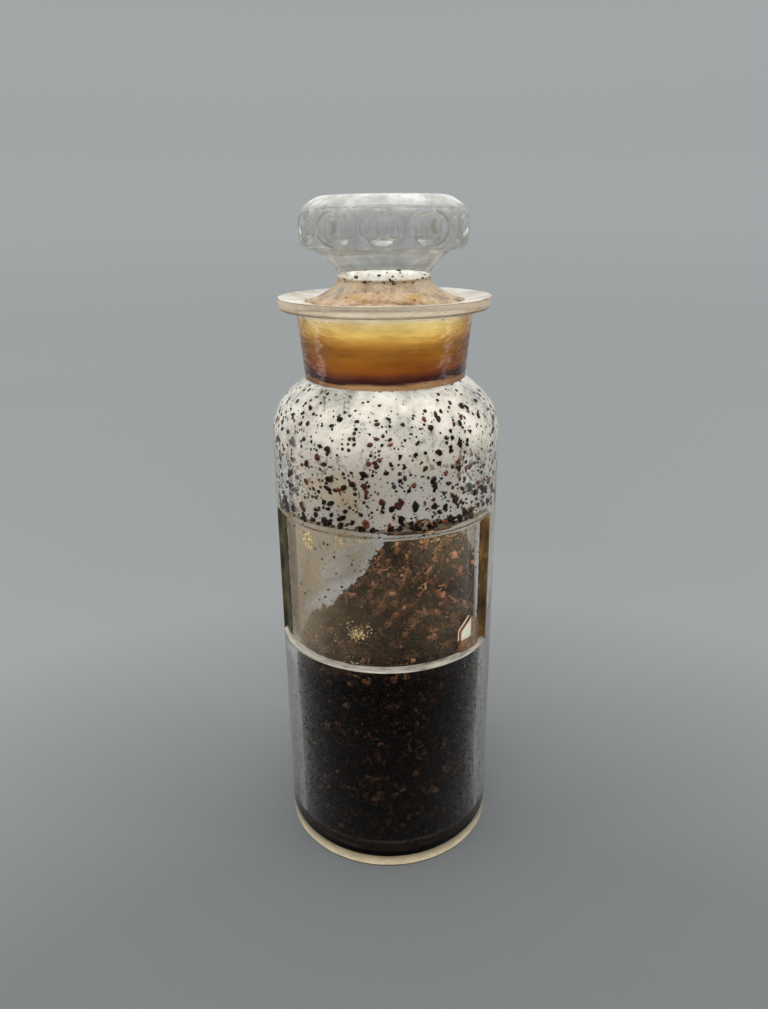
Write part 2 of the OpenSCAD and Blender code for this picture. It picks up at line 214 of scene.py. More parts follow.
# Radius of the inner wall: the bore's, less the panel's depth on the swelling
def innerRadius(azimuth, z):
    return boreRadius - panel["depth"] * innerShare(azimuth, z)


# Height of the crumbs' surface: low at the front left, then a slope and an S-shaped step towards the bank,
# and lumps made of sines of x and y
def heapTop(x, y):
    bank = np.radians(heap["bank"])
    pitch = np.radians(heap["pitch"])
    u = x * np.sin(bank) - y * np.cos(bank)
    slope = heap["slope"] * np.maximum(0, u - heap["start"])
    step = heap["step"] * smooth((u - heap["stepStart"]) / heap["stepRun"])
    lumps = np.sin(x * pitch) * np.cos(y * pitch * 1.3) + np.sin((x + y) * pitch * 0.7)
    return heap["low"] + slope + step + heap["lump"] * lumps


# Radius and height at each azimuth become points in space: x is the radius times the azimuth's sine, y is
# minus the radius times its cosine
def inSpace(radius, azimuth, z):
    turn = np.radians(azimuth)
    return np.stack(np.broadcast_arrays(radius * np.sin(turn), -radius * np.cos(turn), z), -1)


# Height of the crumbs' surface along the inner wall
def rimHeight(azimuth):
    rim = inSpace(boreRadius, azimuth, 0)
    return heapTop(rim[..., 0], rim[..., 1])


# Vertices in mm and faces become a mesh object in metres, shaded smooth or flat
def makeObject(name, vertices, faces, smoothFaces=True):
    mesh = bpy.data.meshes.new(name)
    mesh.from_pydata((np.asarray(vertices) * toMetres).tolist(), [], [list(map(int, f)) for f in faces])
    mesh.polygons.foreach_set("use_smooth", np.full(len(mesh.polygons), smoothFaces))
    mesh.update()
    made = bpy.data.objects.new(name, mesh)
    bpy.context.collection.objects.link(made)
    return made


# Quads of a grid that closes on itself across: each joins a point, its right neighbour and the two above
def gridFaces(rows, columns):
    i = np.arange(rows - 1)[:, None]
    j = np.arange(columns)[None]
    below, above = i * columns, (i + 1) * columns
    right = (j + 1) % columns
    quads = np.stack([below + j, below + right, above + right, above + j], -1)
    return quads.reshape(-1, 4)


# A closed body of rings: the first and last ring become one point each on the axis, with a fan of triangles.
# Faces point outwards when the rings run from the bottom up the outside.
def turnedBody(name, points):
    rows, columns = points.shape[:2]
    rings = points[1:-1].reshape(-1, 3)
    quads = gridFaces(rows - 2, columns)
    low, high = len(rings), len(rings) + 1
    j = np.arange(columns)
    right = (j + 1) % columns
    last = (rows - 3) * columns
    firstFan = np.stack([np.full(columns, low), right, j], 1)
    lastFan = np.stack([np.full(columns, high), last + j, last + right], 1)
    vertices = np.vstack([rings, points[0, 0], points[-1, 0]])
    return makeObject(name, vertices, [*quads.tolist(), *firstFan.tolist(), *lastFan.tolist()])


# Gives faces another material where a rule says so. The rules get the radius, height and azimuth of each
# face's middle, and how far its normal points outwards and upwards: the normal's products with the direction
# away from the axis and with the axis. A later rule paints over an earlier one.
def paintFaces(made, rules):
    mesh = made.data
    middles = np.empty(len(mesh.polygons) * 3)
    mesh.polygons.foreach_get("center", middles)
    middles = middles.reshape(-1, 3) / toMetres
    normals = np.empty(len(mesh.polygons) * 3)
    mesh.polygons.foreach_get("normal", normals)
    normals = normals.reshape(-1, 3)
    radius = np.hypot(middles[:, 0], middles[:, 1])
    outward = (normals[:, 0] * middles[:, 0] + normals[:, 1] * middles[:, 1]) / np.maximum(radius, 1e-6)
    azimuth = np.degrees(np.arctan2(middles[:, 0], -middles[:, 1]))
    index = np.zeros(len(middles), np.int32)
    for material, where in rules(radius, middles[:, 2], azimuth, outward, normals[:, 2]):
        index[where] = mesh.materials.find(material.name)
    mesh.polygons.foreach_set("material_index", index)
    mesh.update()


# An empty material and its output node
def newMaterial(name):
    made = bpy.data.materials.new(name)
    made.use_nodes = True
    made.node_tree.nodes.clear()
    output = made.node_tree.nodes.new("ShaderNodeOutputMaterial")
    return made, output


# A shader node; each value goes to the socket of that name, or else to the node's own setting
def addNode(made, kind, **values):
    node = made.node_tree.nodes.new("ShaderNode" + kind)
    for key, value in values.items():
        if key in node.inputs:
            node.inputs[key].default_value = value
        else:
            setattr(node, key, value)
    return node


# Joins an output socket to an input socket
def link(made, source, target):
    made.node_tree.links.new(source, target)


# Noise in object space; stretch gives how many times finer it is along each axis
def addNoise(made, scale, detail=3.0, roughness=0.55, stretch=(1, 1, 1)):
    place = addNode(made, "TexCoord")
    mapping = addNode(made, "Mapping", Scale=stretch)
    noise = addNode(made, "TexNoise", Scale=scale, Detail=detail, Roughness=roughness)
    link(made, place.outputs["Object"], mapping.inputs["Vector"])
    link(made, mapping.outputs["Vector"], noise.inputs["Vector"])
    return noise.outputs["Fac"]


# A colour ramp: stops are (place from 0 to 1, colour), with straight lines between them
def addRamp(made, source, stops):
    ramp = addNode(made, "ValToRGB")
    elements = ramp.color_ramp.elements
    while len(elements) < len(stops):
        elements.new(0.5)
    for element, (place, colour) in zip(elements, stops):
        element.position = place
        element.color = (*colour, 1)
    link(made, source, ramp.inputs["Fac"])
    return ramp.outputs["Color"]


# One step of arithmetic with up to three values; each may be a socket or a plain number
def addMath(made, operation, first, second=None, third=None):
    node = addNode(made, "Math", operation=operation)
    for socket, value in zip(node.inputs, (first, second, third)):
        if isinstance(value, bpy.types.NodeSocket):
            link(made, value, socket)
        elif value is not None:
            socket.default_value = value
    return node.outputs[0]


# A value or colour that follows the height, or another axis: stops are (place in mm, value or colour).
# A shift moves the whole ramp by a share of its length.
def addHeightRamp(made, stops, shift=None, axis="Z"):
    low, high = stops[0][0], stops[-1][0]
    length = high - low
    place = addNode(made, "TexCoord")
    parts = addNode(made, "SeparateXYZ")
    link(made, place.outputs["Object"], parts.inputs[0])
    share = addMath(made, "MULTIPLY_ADD", parts.outputs[axis], 1 / (length * toMetres), -low / length)
    if shift is not None:
        share = addMath(made, "ADD", share, shift)
    even = [((z - low) / length, value if isinstance(value, tuple) else (value,) * 3) for z, value in stops]
    return addRamp(made, share, even)


# Spreads one range of values evenly over another, and holds what lies outside it at the ends
def addRange(made, source, fromLow, fromHigh, toLow, toHigh):
    spread = addNode(made, "MapRange")
    for key, value in zip(("From Min", "From Max", "To Min", "To Max"), (fromLow, fromHigh, toLow, toHigh)):
        spread.inputs[key].default_value = value
    link(made, source, spread.inputs["Value"])
    return spread.outputs["Result"]


# Mixes two colours; either one and the share may be a plain value
def addMix(made, share, first, second, blend="MIX"):
    node = addNode(made, "Mix", data_type="RGBA", blend_type=blend)
    for socket, value in zip((node.inputs[0], node.inputs[6], node.inputs[7]), (share, first, second)):
        if isinstance(value, bpy.types.NodeSocket):
            link(made, value, socket)
        else:
            socket.default_value = (*value, 1) if isinstance(value, tuple) else value
    return node.outputs[2]


# Mixes two surfaces: the share is the part of the second
def addMixShader(made, share, first, second):
    node = addNode(made, "MixShader")
    if isinstance(share, bpy.types.NodeSocket):
        link(made, share, node.inputs[0])
    else:
        node.inputs[0].default_value = share
    link(made, first, node.inputs[1])
    link(made, second, node.inputs[2])
    return node.outputs[0]


# Tilts the surface's shading by a height; the distance in mm is how high a height of 1 stands
def addBump(made, height, strength, distance):
    bump = addNode(made, "Bump", Strength=strength, Distance=distance * toMetres)
    link(made, height, bump.inputs["Height"])
    return bump.outputs["Normal"]


# Lets lamps through a clear surface, so that they reach what is behind it: shadow and diffuse rays meet a
# plain tint instead of the shader
def lampsThrough(made, output, shader, tint):
    path = addNode(made, "LightPath")
    clear = addNode(made, "BsdfTransparent", Color=(*tint, 1))
    mix = addNode(made, "MixShader")
    either = addMath(made, "MAXIMUM", path.outputs["Is Shadow Ray"], path.outputs["Is Diffuse Ray"])
    link(made, either, mix.inputs["Fac"])
    link(made, shader, mix.inputs[1])
    link(made, clear.outputs[0], mix.inputs[2])
    link(made, mix.outputs[0], output.inputs["Surface"])


glass = {
    "tint": (0.985, 0.988, 0.975),
    "ior": 1.5,
    "smudgeScale": 120,
    "smudges": (0.55, 0.8),
    "roughness": 0.045,
    "lampTint": (0.93, 0.935, 0.92),
}
plainWaves = (70, (1, 1, 1), 0.02)  # scale, stretch and depth in mm of the waves in the glass
noiseSpan = (0.34, 0.68)  # nearly all of a cloud's noise lies between these


# Clear glass: smudges of noise make it rough in places, gloss weakens its reflection, waves unsettle it
def addGlass(made, roughness, gloss, waves):
    shader = addNode(made, "BsdfPrincipled", IOR=glass["ior"])
    shader.inputs["Specular Tint"].default_value = (gloss, gloss, gloss, 1)
    shader.inputs["Base Color"].default_value = (*glass["tint"], 1)
    shader.inputs["Transmission Weight"].default_value = 1
    smudges = addNoise(made, glass["smudgeScale"], 4)
    rough = addRange(made, smudges, *glass["smudges"], 0.0, roughness)
    link(made, rough, shader.inputs["Roughness"])
    scale, stretch, depth = waves
    ripples = addNoise(made, scale, 1.5, stretch=stretch)
    link(made, addBump(made, ripples, 0.5, depth), shader.inputs["Normal"])
    return shader.outputs[0]


# Small round dots: a point is in one where its distance from the cell's middle is under the share times the
# square of the cell's random number
def addDots(made, scale, share):
    place = addNode(made, "TexCoord")
    cells = addNode(made, "TexVoronoi", Scale=scale)
    link(made, place.outputs["Object"], cells.inputs["Vector"])
    parts = addNode(made, "SeparateXYZ")
    link(made, cells.outputs["Color"], parts.inputs[0])
    size = addMath(made, "MULTIPLY", addMath(made, "POWER", parts.outputs["X"], 2.0), share)
    return addMath(made, "LESS_THAN", cells.outputs["Distance"], size)


# Glass with a dull coat in contact with it. The coat's cover is a ramp over the height times clouds of noise,
# and can also follow the width. Its colour follows the height and can be mottled, and dots of dirt lie in it.
# An "edge" makes it denser where it is seen at a slant.
def coatedGlass(name, coat):
    made, output = newMaterial(name)
    roughness = coat.get("roughness", glass["roughness"])
    clear = addGlass(made, roughness, coat.get("gloss", 1.0), coat.get("waves", plainWaves))
    drift = addNoise(made, coat["cloudScale"], 6, 0.62, coat.get("stretch", (1, 1, 1)))
    clouds = addRange(made, drift, *noiseSpan, *coat["clouds"])
    cover = addMath(made, "MULTIPLY", clouds, addHeightRamp(made, coat["cover"]))
    if "across" in coat:
        cover = addMath(made, "MULTIPLY", cover, addHeightRamp(made, coat["across"], axis="X"))
    if "edge" in coat:
        facing = addNode(made, "LayerWeight", Blend=0.5)
        cover = addMath(made, "ADD", cover, addRange(made, facing.outputs["Facing"], *coat["edge"]))
    colour = addHeightRamp(made, coat["colours"])
    if "mottle" in coat:
        scale, dark = coat["mottle"]
        patches = addRamp(made, addNoise(made, scale, 4, 0.6), [(0.38, dark), (0.60, (1, 1, 1))])
        colour = addMix(made, 1.0, colour, patches, "MULTIPLY")
    for dot in coat.get("dots", []):
        where = addHeightRamp(made, dot.get("where", everyHeight))
        mask = addDots(made, dot["scale"], addMath(made, "MULTIPLY", where, dot["share"]))
        cover = addMath(made, "MAXIMUM", cover, addMath(made, "MULTIPLY", mask, dot["cover"]))
        colour = addMix(made, mask, colour, dot["colour"])
    dull = addNode(made, "BsdfDiffuse")
    through = addNode(made, "BsdfTranslucent")
    link(made, colour, dull.inputs["Color"])
    link(made, colour, through.inputs["Color"])
    body = addMixShader(made, coat.get("through", 0.3), dull.outputs[0], through.outputs[0])
    surface = addMixShader(made, cover, clear, body)
    lampsThrough(made, output, surface, coat.get("lampTint", glass["lampTint"]))
    return made


# Coats, from the outside of the bottle to the hollow of the stopper. Heights are in mm. "clouds" are the
# shares of cover where the noise is thin and where it is thick.
everyHeight = [(0, 1.0), (226, 1.0)]
dust = {
    "cloudScale": 60,
    "clouds": (0.0, 1.0),
    "gloss": 0.06,
    "cover": [(0, 0.002), (128, 0.003), (170, 0.02), (190, 0.03), (191.5, 0.54), (195.5, 0.54)],
    "colours": [(0, (0.6, 0.58, 0.54)), (190, (0.70, 0.56, 0.40)), (195.5, (1.0, 0.79, 0.57))],
}
neckDust = {**dust, "gloss": 0.6, "waves": (150, (1.2, 1.2, 4.5), 1.4)}
# The lip's top is whiter, and its outer edges at the top and below are painted with a dark line
lipTopDust = {
    **dust,
    "clouds": (0.4, 1.4),
    "cover": [(190, 0.62), (196, 0.62)],
    "mottle": (140, (0.84, 0.80, 0.72)),
    "colours": [(190, (0.90, 0.82, 0.70)), (196, (0.98, 0.95, 0.90))],
}
lipLine = {
    **dust,
    "clouds": (0.6, 1.2),
    "cover": [(190, 0.62), (196, 0.62)],
    "colours": [(190, (0.20, 0.15, 0.11)), (196, (0.20, 0.15, 0.11))],
}
# Handling haze on the pressed knob, drawn out into streaks. Its colours paint a grey band round the knob's
# side as painted shade and its top white as painted highlight.
knobHazeAndLight = {
    "cloudScale": 110,
    "clouds": (-0.2, 2.2),
    "stretch": (2.5, 2.5, 0.25),
    "cover": [(170, 0.03), (193.0, 0.05), (194.0, 0.56), (198.6, 0.50), (200.2, 0.12), (208, 0.22),
              (214, 0.24), (219, 0.20), (222, 0.40), (226, 0.50)],
    "colours": [(170, (0.80, 0.76, 0.68)), (194, (0.66, 0.49, 0.34)), (200, (0.52, 0.41, 0.29)),
                (209, (0.26, 0.245, 0.21)), (214, (0.25, 0.24, 0.215)), (218, (0.34, 0.335, 0.31)),
                (222, (0.95, 0.94, 0.90)), (226, (0.98, 0.97, 0.93))],
    "roughness": 0.22,
    "waves": (150, (1, 1, 0.12), 0.10),
    "gloss": 0.3,
}
# The top of the knob is rubbed pale, most along its rim; the pale is also a painted highlight of the light
# from above.
capHazeAndHighlight = {
    **knobHazeAndLight,
    "cloudScale": 85,
    "clouds": (0.25, 1.55),
    "stretch": (1, 1, 1),
    "mottle": (150, (0.74, 0.74, 0.71)),
    "cover": [(220.5, 0.10), (221.6, 0.40), (222.8, 0.62), (224.2, 0.72), (225, 0.46)],
    "waves": plainWaves,
}
# The inner wall over the crumbs: a pale film full of dark dots, thickest under the neck. Its whiter band on
# the shoulder's top is partly a painted highlight of the light from above.
filmAndHighlight = {
    "cloudScale": 75,
    "clouds": (0.15, 1.5),
    "cover": [(120, 0.34), (146, 0.38), (153, 0.68), (160, 0.88), (168, 0.95)],
    "colours": [(120, (0.54, 0.42, 0.30)), (146, (0.66, 0.55, 0.42)), (154, (0.95, 0.88, 0.76)),
                (168, (1.0, 0.96, 0.88))],
    "dots": [{"scale": 620, "share": 0.44, "cover": 0.92, "colour": (0.020, 0.010, 0.007)},
             {"scale": 330, "share": 0.22, "cover": 0.9, "colour": (0.05, 0.013, 0.008)}],
    "lampTint": (0.84, 0.82, 0.78),
    "gloss": 0.15,
}
# The same wall above the crumbs, at the height of the panel: hazy towards one side
windowFilm = {
    "cloudScale": 45,
    "clouds": (0.2, 1.4),
    "cover": [(60, 0.03), (81, 0.05), (85, 0.64), (104, 0.72), (127, 0.74)],
    "across": [(-37, 1.0), (-20, 0.95), (-10, 0.48), (0, 0.22), (10, 0.16), (20, 0.30), (37, 0.45)],
    "colours": [(60, (0.30, 0.215, 0.125)), (96, (0.32, 0.225, 0.13)), (112, (0.40, 0.29, 0.165)),
                (127, (0.47, 0.36, 0.21))],
    "dots": [{"scale": 520, "share": 0.24, "cover": 0.9, "colour": (0.05, 0.03, 0.02)}],
    "lampTint": (0.86, 0.84, 0.80),
    "gloss": 0.15,
}
# The same wall where the crumbs lie against it
contact = {
    "cloudScale": 75,
    "clouds": (0.35, 1.35),
    "cover": [(0, 1.0), (9.2, 1.0), (10.4, 0.006), (76, 0.006), (84, 0.10), (92, 0.17), (130, 0.24)],
    "colours": [(0, (0.024, 0.015, 0.010)), (9.2, (0.016, 0.009, 0.006)), (10.4, (0.175, 0.150, 0.118)),
                (76, (0.185, 0.158, 0.125)), (90, (0.20, 0.14, 0.11)), (130, (0.28, 0.20, 0.165))],
    "edge": (0.21, 0.34, 0.0, 0.62),
    "dots": [{"scale": 1150, "share": 0.72, "cover": 0.92, "colour": (0.012, 0.007, 0.005)},
             {"scale": 480, "share": 0.50, "cover": 0.9, "colour": (0.045, 0.018, 0.011),
              "where": [(0, 0.7), (78, 0.7), (84, 1.0), (130, 1.0)]}],
    "lampTint": (0.90, 0.89, 0.86),
    "gloss": 0.05,
}
# The worn, pale ledge at the panel's foot. Its colour is painted highlight at the lower edge and painted
# shade towards the panel's floor.
frostAndPaintedLight = {
    "cloudScale": 110,
    "clouds": (0.35, 1.2),
    "stretch": (1, 1, 14),
    "cover": [(80, 0.95), (81, 0.80), (83, 0.62)],
    "colours": [(80, (0.86, 0.80, 0.68)), (81.2, (0.66, 0.60, 0.50)), (83, (0.50, 0.44, 0.34))],
    "roughness": 0.3,
}
# Brown and gold remains along the panel's top edge
topStain = {
    "cloudScale": 160,
    "clouds": (-0.2, 1.6),
    "stretch": (1, 1, 0.5),
    "cover": [(126, 0.75), (129, 0.55)],
    "colours": [(126, (0.26, 0.15, 0.045)), (129, (0.34, 0.24, 0.11))],
    "dots": [{"scale": 700, "share": 0.5, "cover": 0.9, "colour": (0.05, 0.02, 0.008)}],
}
# The scuffed ring that the bottle stands on: worn glass, painted cream as a painted highlight for light
# carried through the base, and painted darker up towards the push-up as painted shade.
wornFootAndHighlight = {
    "cloudScale": 200,
    "clouds": (0.8, 1.1),
    "cover": [(0, 0.92), (2, 0.92)],
    "through": 0.0,
    "colours": [(0, (0.74, 0.62, 0.42)), (0.12, (0.62, 0.50, 0.32)), (0.5, (0.20, 0.14, 0.09)),
                (2, (0.10, 0.07, 0.05))],
}
# What the label left on the panel's floor, most towards its left end
residue = {
    "cloudScale": 90,
    "clouds": (0.1, 1.6),
    "cover": [(80, 0.52), (96, 0.44), (110, 0.34), (128, 0.30)],
    "across": [(-36, 1.0), (-27, 0.9), (-16, 0.35), (-8, 0.08), (20, 0.05), (36, 0.10)],
    "colours": [(80, (0.35, 0.28, 0.18)), (128, (0.40, 0.32, 0.21))],
    "dots": [{"scale": 560, "share": 0.10, "cover": 0.95, "colour": (0.80, 0.70, 0.48)}],
    "roughness": 0.12,
    "gloss": 0.35,
}
# A white deposit fills the top of the stopper's hollow, and brown dust lies below it
hollowDust = {
    "cloudScale": 110,
    "clouds": (0.45, 1.35),
    "stretch": (1.6, 1.6, 0.5),
    "cover": [(172, 0.05), (188, 0.08), (194, 0.36), (199.2, 0.56), (200.2, 1.0), (206, 1.0)],
    "through": 0.12,
    "colours": [(172, (0.50, 0.37, 0.24)), (194, (0.56, 0.42, 0.28)), (198.4, (0.62, 0.48, 0.34)),
                (199.6, (0.40, 0.27, 0.16)), (200.6, (0.97, 0.94, 0.86)), (203.6, (1.0, 0.985, 0.93)),
                (206, (0.94, 0.91, 0.84))],
    "dots": [{"scale": 330, "share": 0.34, "cover": 0.95, "colour": (0.05, 0.018, 0.010)}],
    "lampTint": (0.95, 0.93, 0.90),
    "mottle": (260, (0.84, 0.78, 0.68)),
}
shard = {
    "edge": 0.7,
    "roughness": 0.03,
    "stainRoughness": 0.3,
    "stainScale": 500,
    "stain": [(0.4, (0.05, 0.010, 0.005)), (0.65, (0.30, 0.12, 0.03))],
}


# The broken label glass: clear where it faces outwards or inwards, stained where it is broken. A face is an
# edge where its normal and the flat direction away from the axis have a small product.
def shardMaterial(name):
    made, output = newMaterial(name)
    place = addNode(made, "TexCoord")
    flat = addNode(made, "VectorMath", operation="MULTIPLY")
    flat.inputs[1].default_value = (1, 1, 0)
    link(made, place.outputs["Object"], flat.inputs[0])
    away = addNode(made, "VectorMath", operation="NORMALIZE")
    link(made, flat.outputs[0], away.inputs[0])
    facing = addNode(made, "VectorMath", operation="DOT_PRODUCT")
    link(made, away.outputs[0], facing.inputs[0])
    link(made, place.outputs["Normal"], facing.inputs[1])
    isEdge = addMath(made, "LESS_THAN", addMath(made, "ABSOLUTE", facing.outputs["Value"]), shard["edge"])
    stain = addNode(made, "BsdfPrincipled", Roughness=shard["stainRoughness"])
    blotches = addRamp(made, addNoise(made, shard["stainScale"]), shard["stain"])
    link(made, blotches, stain.inputs["Base Color"])
    clear = addGlass(made, shard["roughness"], 1.0, plainWaves)
    lampsThrough(made, output, addMixShader(made, isEdge, clear, stain.outputs[0]), glass["lampTint"])
    return made


# The ground joint: two rough faces stuck together by resin. Light goes straight on and takes the resin's
# colour, and part of it is scattered, most where the resin is pale.
amber = {
    "colours": [(168, (0.66, 0.42, 0.24)), (171.3, (0.60, 0.34, 0.16)), (172.0, (0.035, 0.001, 0.001)),
                (173.3, (0.07, 0.004, 0.002)), (175.4, (0.34, 0.090, 0.001)), (178.6, (0.40, 0.148, 0.002)),
                (182.0, (0.40, 0.17, 0.016)), (184.0, (0.70, 0.36, 0.06)), (186.2, (1.0, 0.70, 0.20)),
                (189.2, (1.0, 0.80, 0.36)), (191.2, (0.98, 0.90, 0.70)), (195, (0.97, 0.94, 0.84))],
    "glow": [(168, 0.75), (174, 0.80), (180, 0.84), (190, 0.92), (194, 0.92)],
    "through": 0.1,
    "thinning": 0.55,
    "wander": 0.08,
    "wanderScale": 40,
    "lineScale": 60,
    "lineStretch": (1, 1, 30),
    "lampTint": (0.97, 0.84, 0.56),
    "lines": [(0.32, (0.74, 0.70, 0.62)), (0.48, (0.95, 0.94, 0.92)), (0.6, (1, 1, 1))],
    "patchScale": 55,
    "patchStretch": (1, 1, 2),
    "patches": [(0.36, (0.74, 0.66, 0.58)), (0.54, (1, 1, 1))],
    "rim": [(0.08, (1, 1, 1)), (0.34, (0.42, 0.31, 0.22))],
    "speckScale": 260,
    "speckShare": 0.14,
    "speck": (0.05, 0.02, 0.01),
}


# The joint's colour follows a wandering height, times scratches round the joint, patches and a darker rim
# where it is seen at a slant. Clear resin lets light straight on, the rest is dull or glows through.
def amberMaterial(name):
    made, output = newMaterial(name)
    drift = addNoise(made, amber["wanderScale"])
    wander = addMath(made, "MULTIPLY_ADD", drift, 2 * amber["wander"], -amber["wander"])
    colour = addHeightRamp(made, amber["colours"], wander)
    scratches = addNoise(made, amber["lineScale"], 5, 0.7, amber["lineStretch"])
    lined = addMix(made, 1.0, colour, addRamp(made, scratches, amber["lines"]), "MULTIPLY")
    lined = addMix(made, addDots(made, amber["speckScale"], amber["speckShare"]), lined, amber["speck"])
    blotches = addNoise(made, amber["patchScale"], stretch=amber["patchStretch"])
    patches = addRamp(made, blotches, amber["patches"])
    lined = addMix(made, 1.0, lined, patches, "MULTIPLY")
    facing = addNode(made, "LayerWeight", Blend=0.5)
    rim = addRamp(made, facing.outputs["Facing"], amber["rim"])
    lined = addMix(made, 1.0, lined, rim, "MULTIPLY")
    pale = addNode(made, "Gamma", Gamma=amber["thinning"])
    link(made, lined, pale.inputs["Color"])
    clear = addNode(made, "BsdfTransparent")
    dull = addNode(made, "BsdfDiffuse")
    glow = addNode(made, "BsdfTranslucent")
    link(made, pale.outputs["Color"], clear.inputs["Color"])
    link(made, lined, dull.inputs["Color"])
    link(made, lined, glow.inputs["Color"])
    body = addMixShader(made, amber["through"], dull.outputs[0], glow.outputs[0])
    share = addHeightRamp(made, amber["glow"])
    lampsThrough(made, output, addMixShader(made, share, clear.outputs[0], body), amber["lampTint"])
    return made


# Each noise of the crumbs is (scale, detail, roughness), and "relief" is how high it stands in mm
crumbNoise = {
    "coarse": (700, 4, 0.65),
    "fine": (2600, 3, 0.6),
    "coarseShare": 0.55,
    "fineShare": 0.35,
    "centre": -0.45,
    "toneShare": 0.8,
    "lift": 0.10,
    "fineRelief": 0.5,
    "relief": 0.6,
}


# Crumbs: every grain has its own tone, from its "tone" attribute. A share of it, and shares of a coarse and a
# fine noise, add up to its place on the colour ramp. Low in the imported bed the crumbs are painted darker as
# painted shade, and high up lighter as painted light from above.
def crumbMaterial(name, look):
    n = crumbNoise
    made, output = newMaterial(name)
    tone = addNode(made, "Attribute", attribute_name="tone")
    coarse = addNoise(made, *n["coarse"])
    fine = addNoise(made, *n["fine"])
    centred = addMath(made, "MULTIPLY_ADD", coarse, n["coarseShare"], n["centre"])
    rough = addMath(made, "MULTIPLY_ADD", fine, n["fineShare"], centred)
    lifted = addMath(made, "ADD", rough, n["lift"])
    mixed = addMath(made, "MULTIPLY_ADD", tone.outputs["Fac"], n["toneShare"], lifted)
    colour = addRamp(made, mixed, look["stops"])
    # Painted shade and light: the colour is multiplied by a ramp over the height
    colour = addMix(made, 1.0, colour, addHeightRamp(made, look["depth"]), "MULTIPLY")
    shader = addNode(made, "BsdfPrincipled", Roughness=look["roughness"])
    shader.inputs["Specular IOR Level"].default_value = look["gloss"]
    link(made, colour, shader.inputs["Base Color"])
    height = addMath(made, "ADD", coarse, addMath(made, "MULTIPLY", fine, n["fineRelief"]))
    link(made, addBump(made, height, look["bump"], n["relief"]), shader.inputs["Normal"])
    link(made, shader.outputs[0], output.inputs["Surface"])
    return made


bedLook = {
    "stops": [(0.0, (0.003, 0.002, 0.001)), (0.38, (0.010, 0.005, 0.003)), (0.54, (0.045, 0.019, 0.010)),
              (0.70, (0.16, 0.060, 0.030)), (0.86, (0.40, 0.155, 0.075)), (1.0, (0.66, 0.33, 0.18))],
    # depth: painted shade darkens the crumbs low down, and painted light brightens the top of the heap
    "depth": [(0, 0.085), (70, 0.10), (77, 0.20), (84, 0.70), (92, 1.15), (130, 1.3)],
    "roughness": 0.9,
    "gloss": 0.0,
    "bump": 0.8,
}
speckLook = {
    "stops": [(0.0, (0.004, 0.002, 0.001)), (0.50, (0.012, 0.005, 0.003)), (0.74, (0.055, 0.014, 0.008)),
              (0.90, (0.15, 0.038, 0.014)), (1.0, (0.26, 0.085, 0.024))],
    "depth": [(0, 1.0), (226, 1.0)],
    "roughness": 0.5,
    "gloss": 0.08,
    "bump": 0.4,
}


# An opaque finish: noise picks the colour between the stops and raises the surface a little
def plainMaterial(name, stops, scale, roughness, metallic=0.0, gloss=0.5):
    made, output = newMaterial(name)
    noise = addNoise(made, scale, 4, 0.6)
    shader = addNode(made, "BsdfPrincipled", Roughness=roughness, Metallic=metallic)
    shader.inputs["Specular IOR Level"].default_value = gloss
    link(made, addRamp(made, noise, stops), shader.inputs["Base Color"])
    link(made, addBump(made, noise, 0.1, 0.2), shader.inputs["Normal"])
    link(made, shader.outputs[0], output.inputs["Surface"])
    return made


leafStops = [(0.30, (0.26, 0.13, 0.035)), (0.42, (0.60, 0.40, 0.15)), (0.55, (0.88, 0.72, 0.40)),
             (0.68, (1.0, 0.93, 0.72))]
borderStops = [(0.30, (0.09, 0.035, 0.010)), (0.48, (0.27, 0.12, 0.030)), (0.62, (0.46, 0.24, 0.07)),
               (0.75, (0.70, 0.44, 0.16))]
whiteStops = [(0.30, (0.50, 0.42, 0.27)), (0.42, (0.78, 0.73, 0.60)), (0.6, (0.86, 0.83, 0.74))]
# One gold border in two tones: darker olive for the left strip as painted shade, lighter brown for the right
# as painted light
shadedBorderStops = [(0.30, (0.018, 0.014, 0.006)), (0.5, (0.040, 0.032, 0.013)), (0.7, (0.095, 0.080, 0.036))]
litBorderStops = [(0.30, (0.030, 0.014, 0.005)), (0.5, (0.085, 0.044, 0.013)), (0.7, (0.22, 0.13, 0.04))]
resinStops = [(0.3, (0.02, 0.004, 0.002)), (0.7, (0.10, 0.022, 0.008))]


# The push-up's rise over its rim: its height times one less the squared share of its radius
def pushUpRise(across, dome):
    return bottle["pushUp"] * (1 - (across / dome) ** 2)


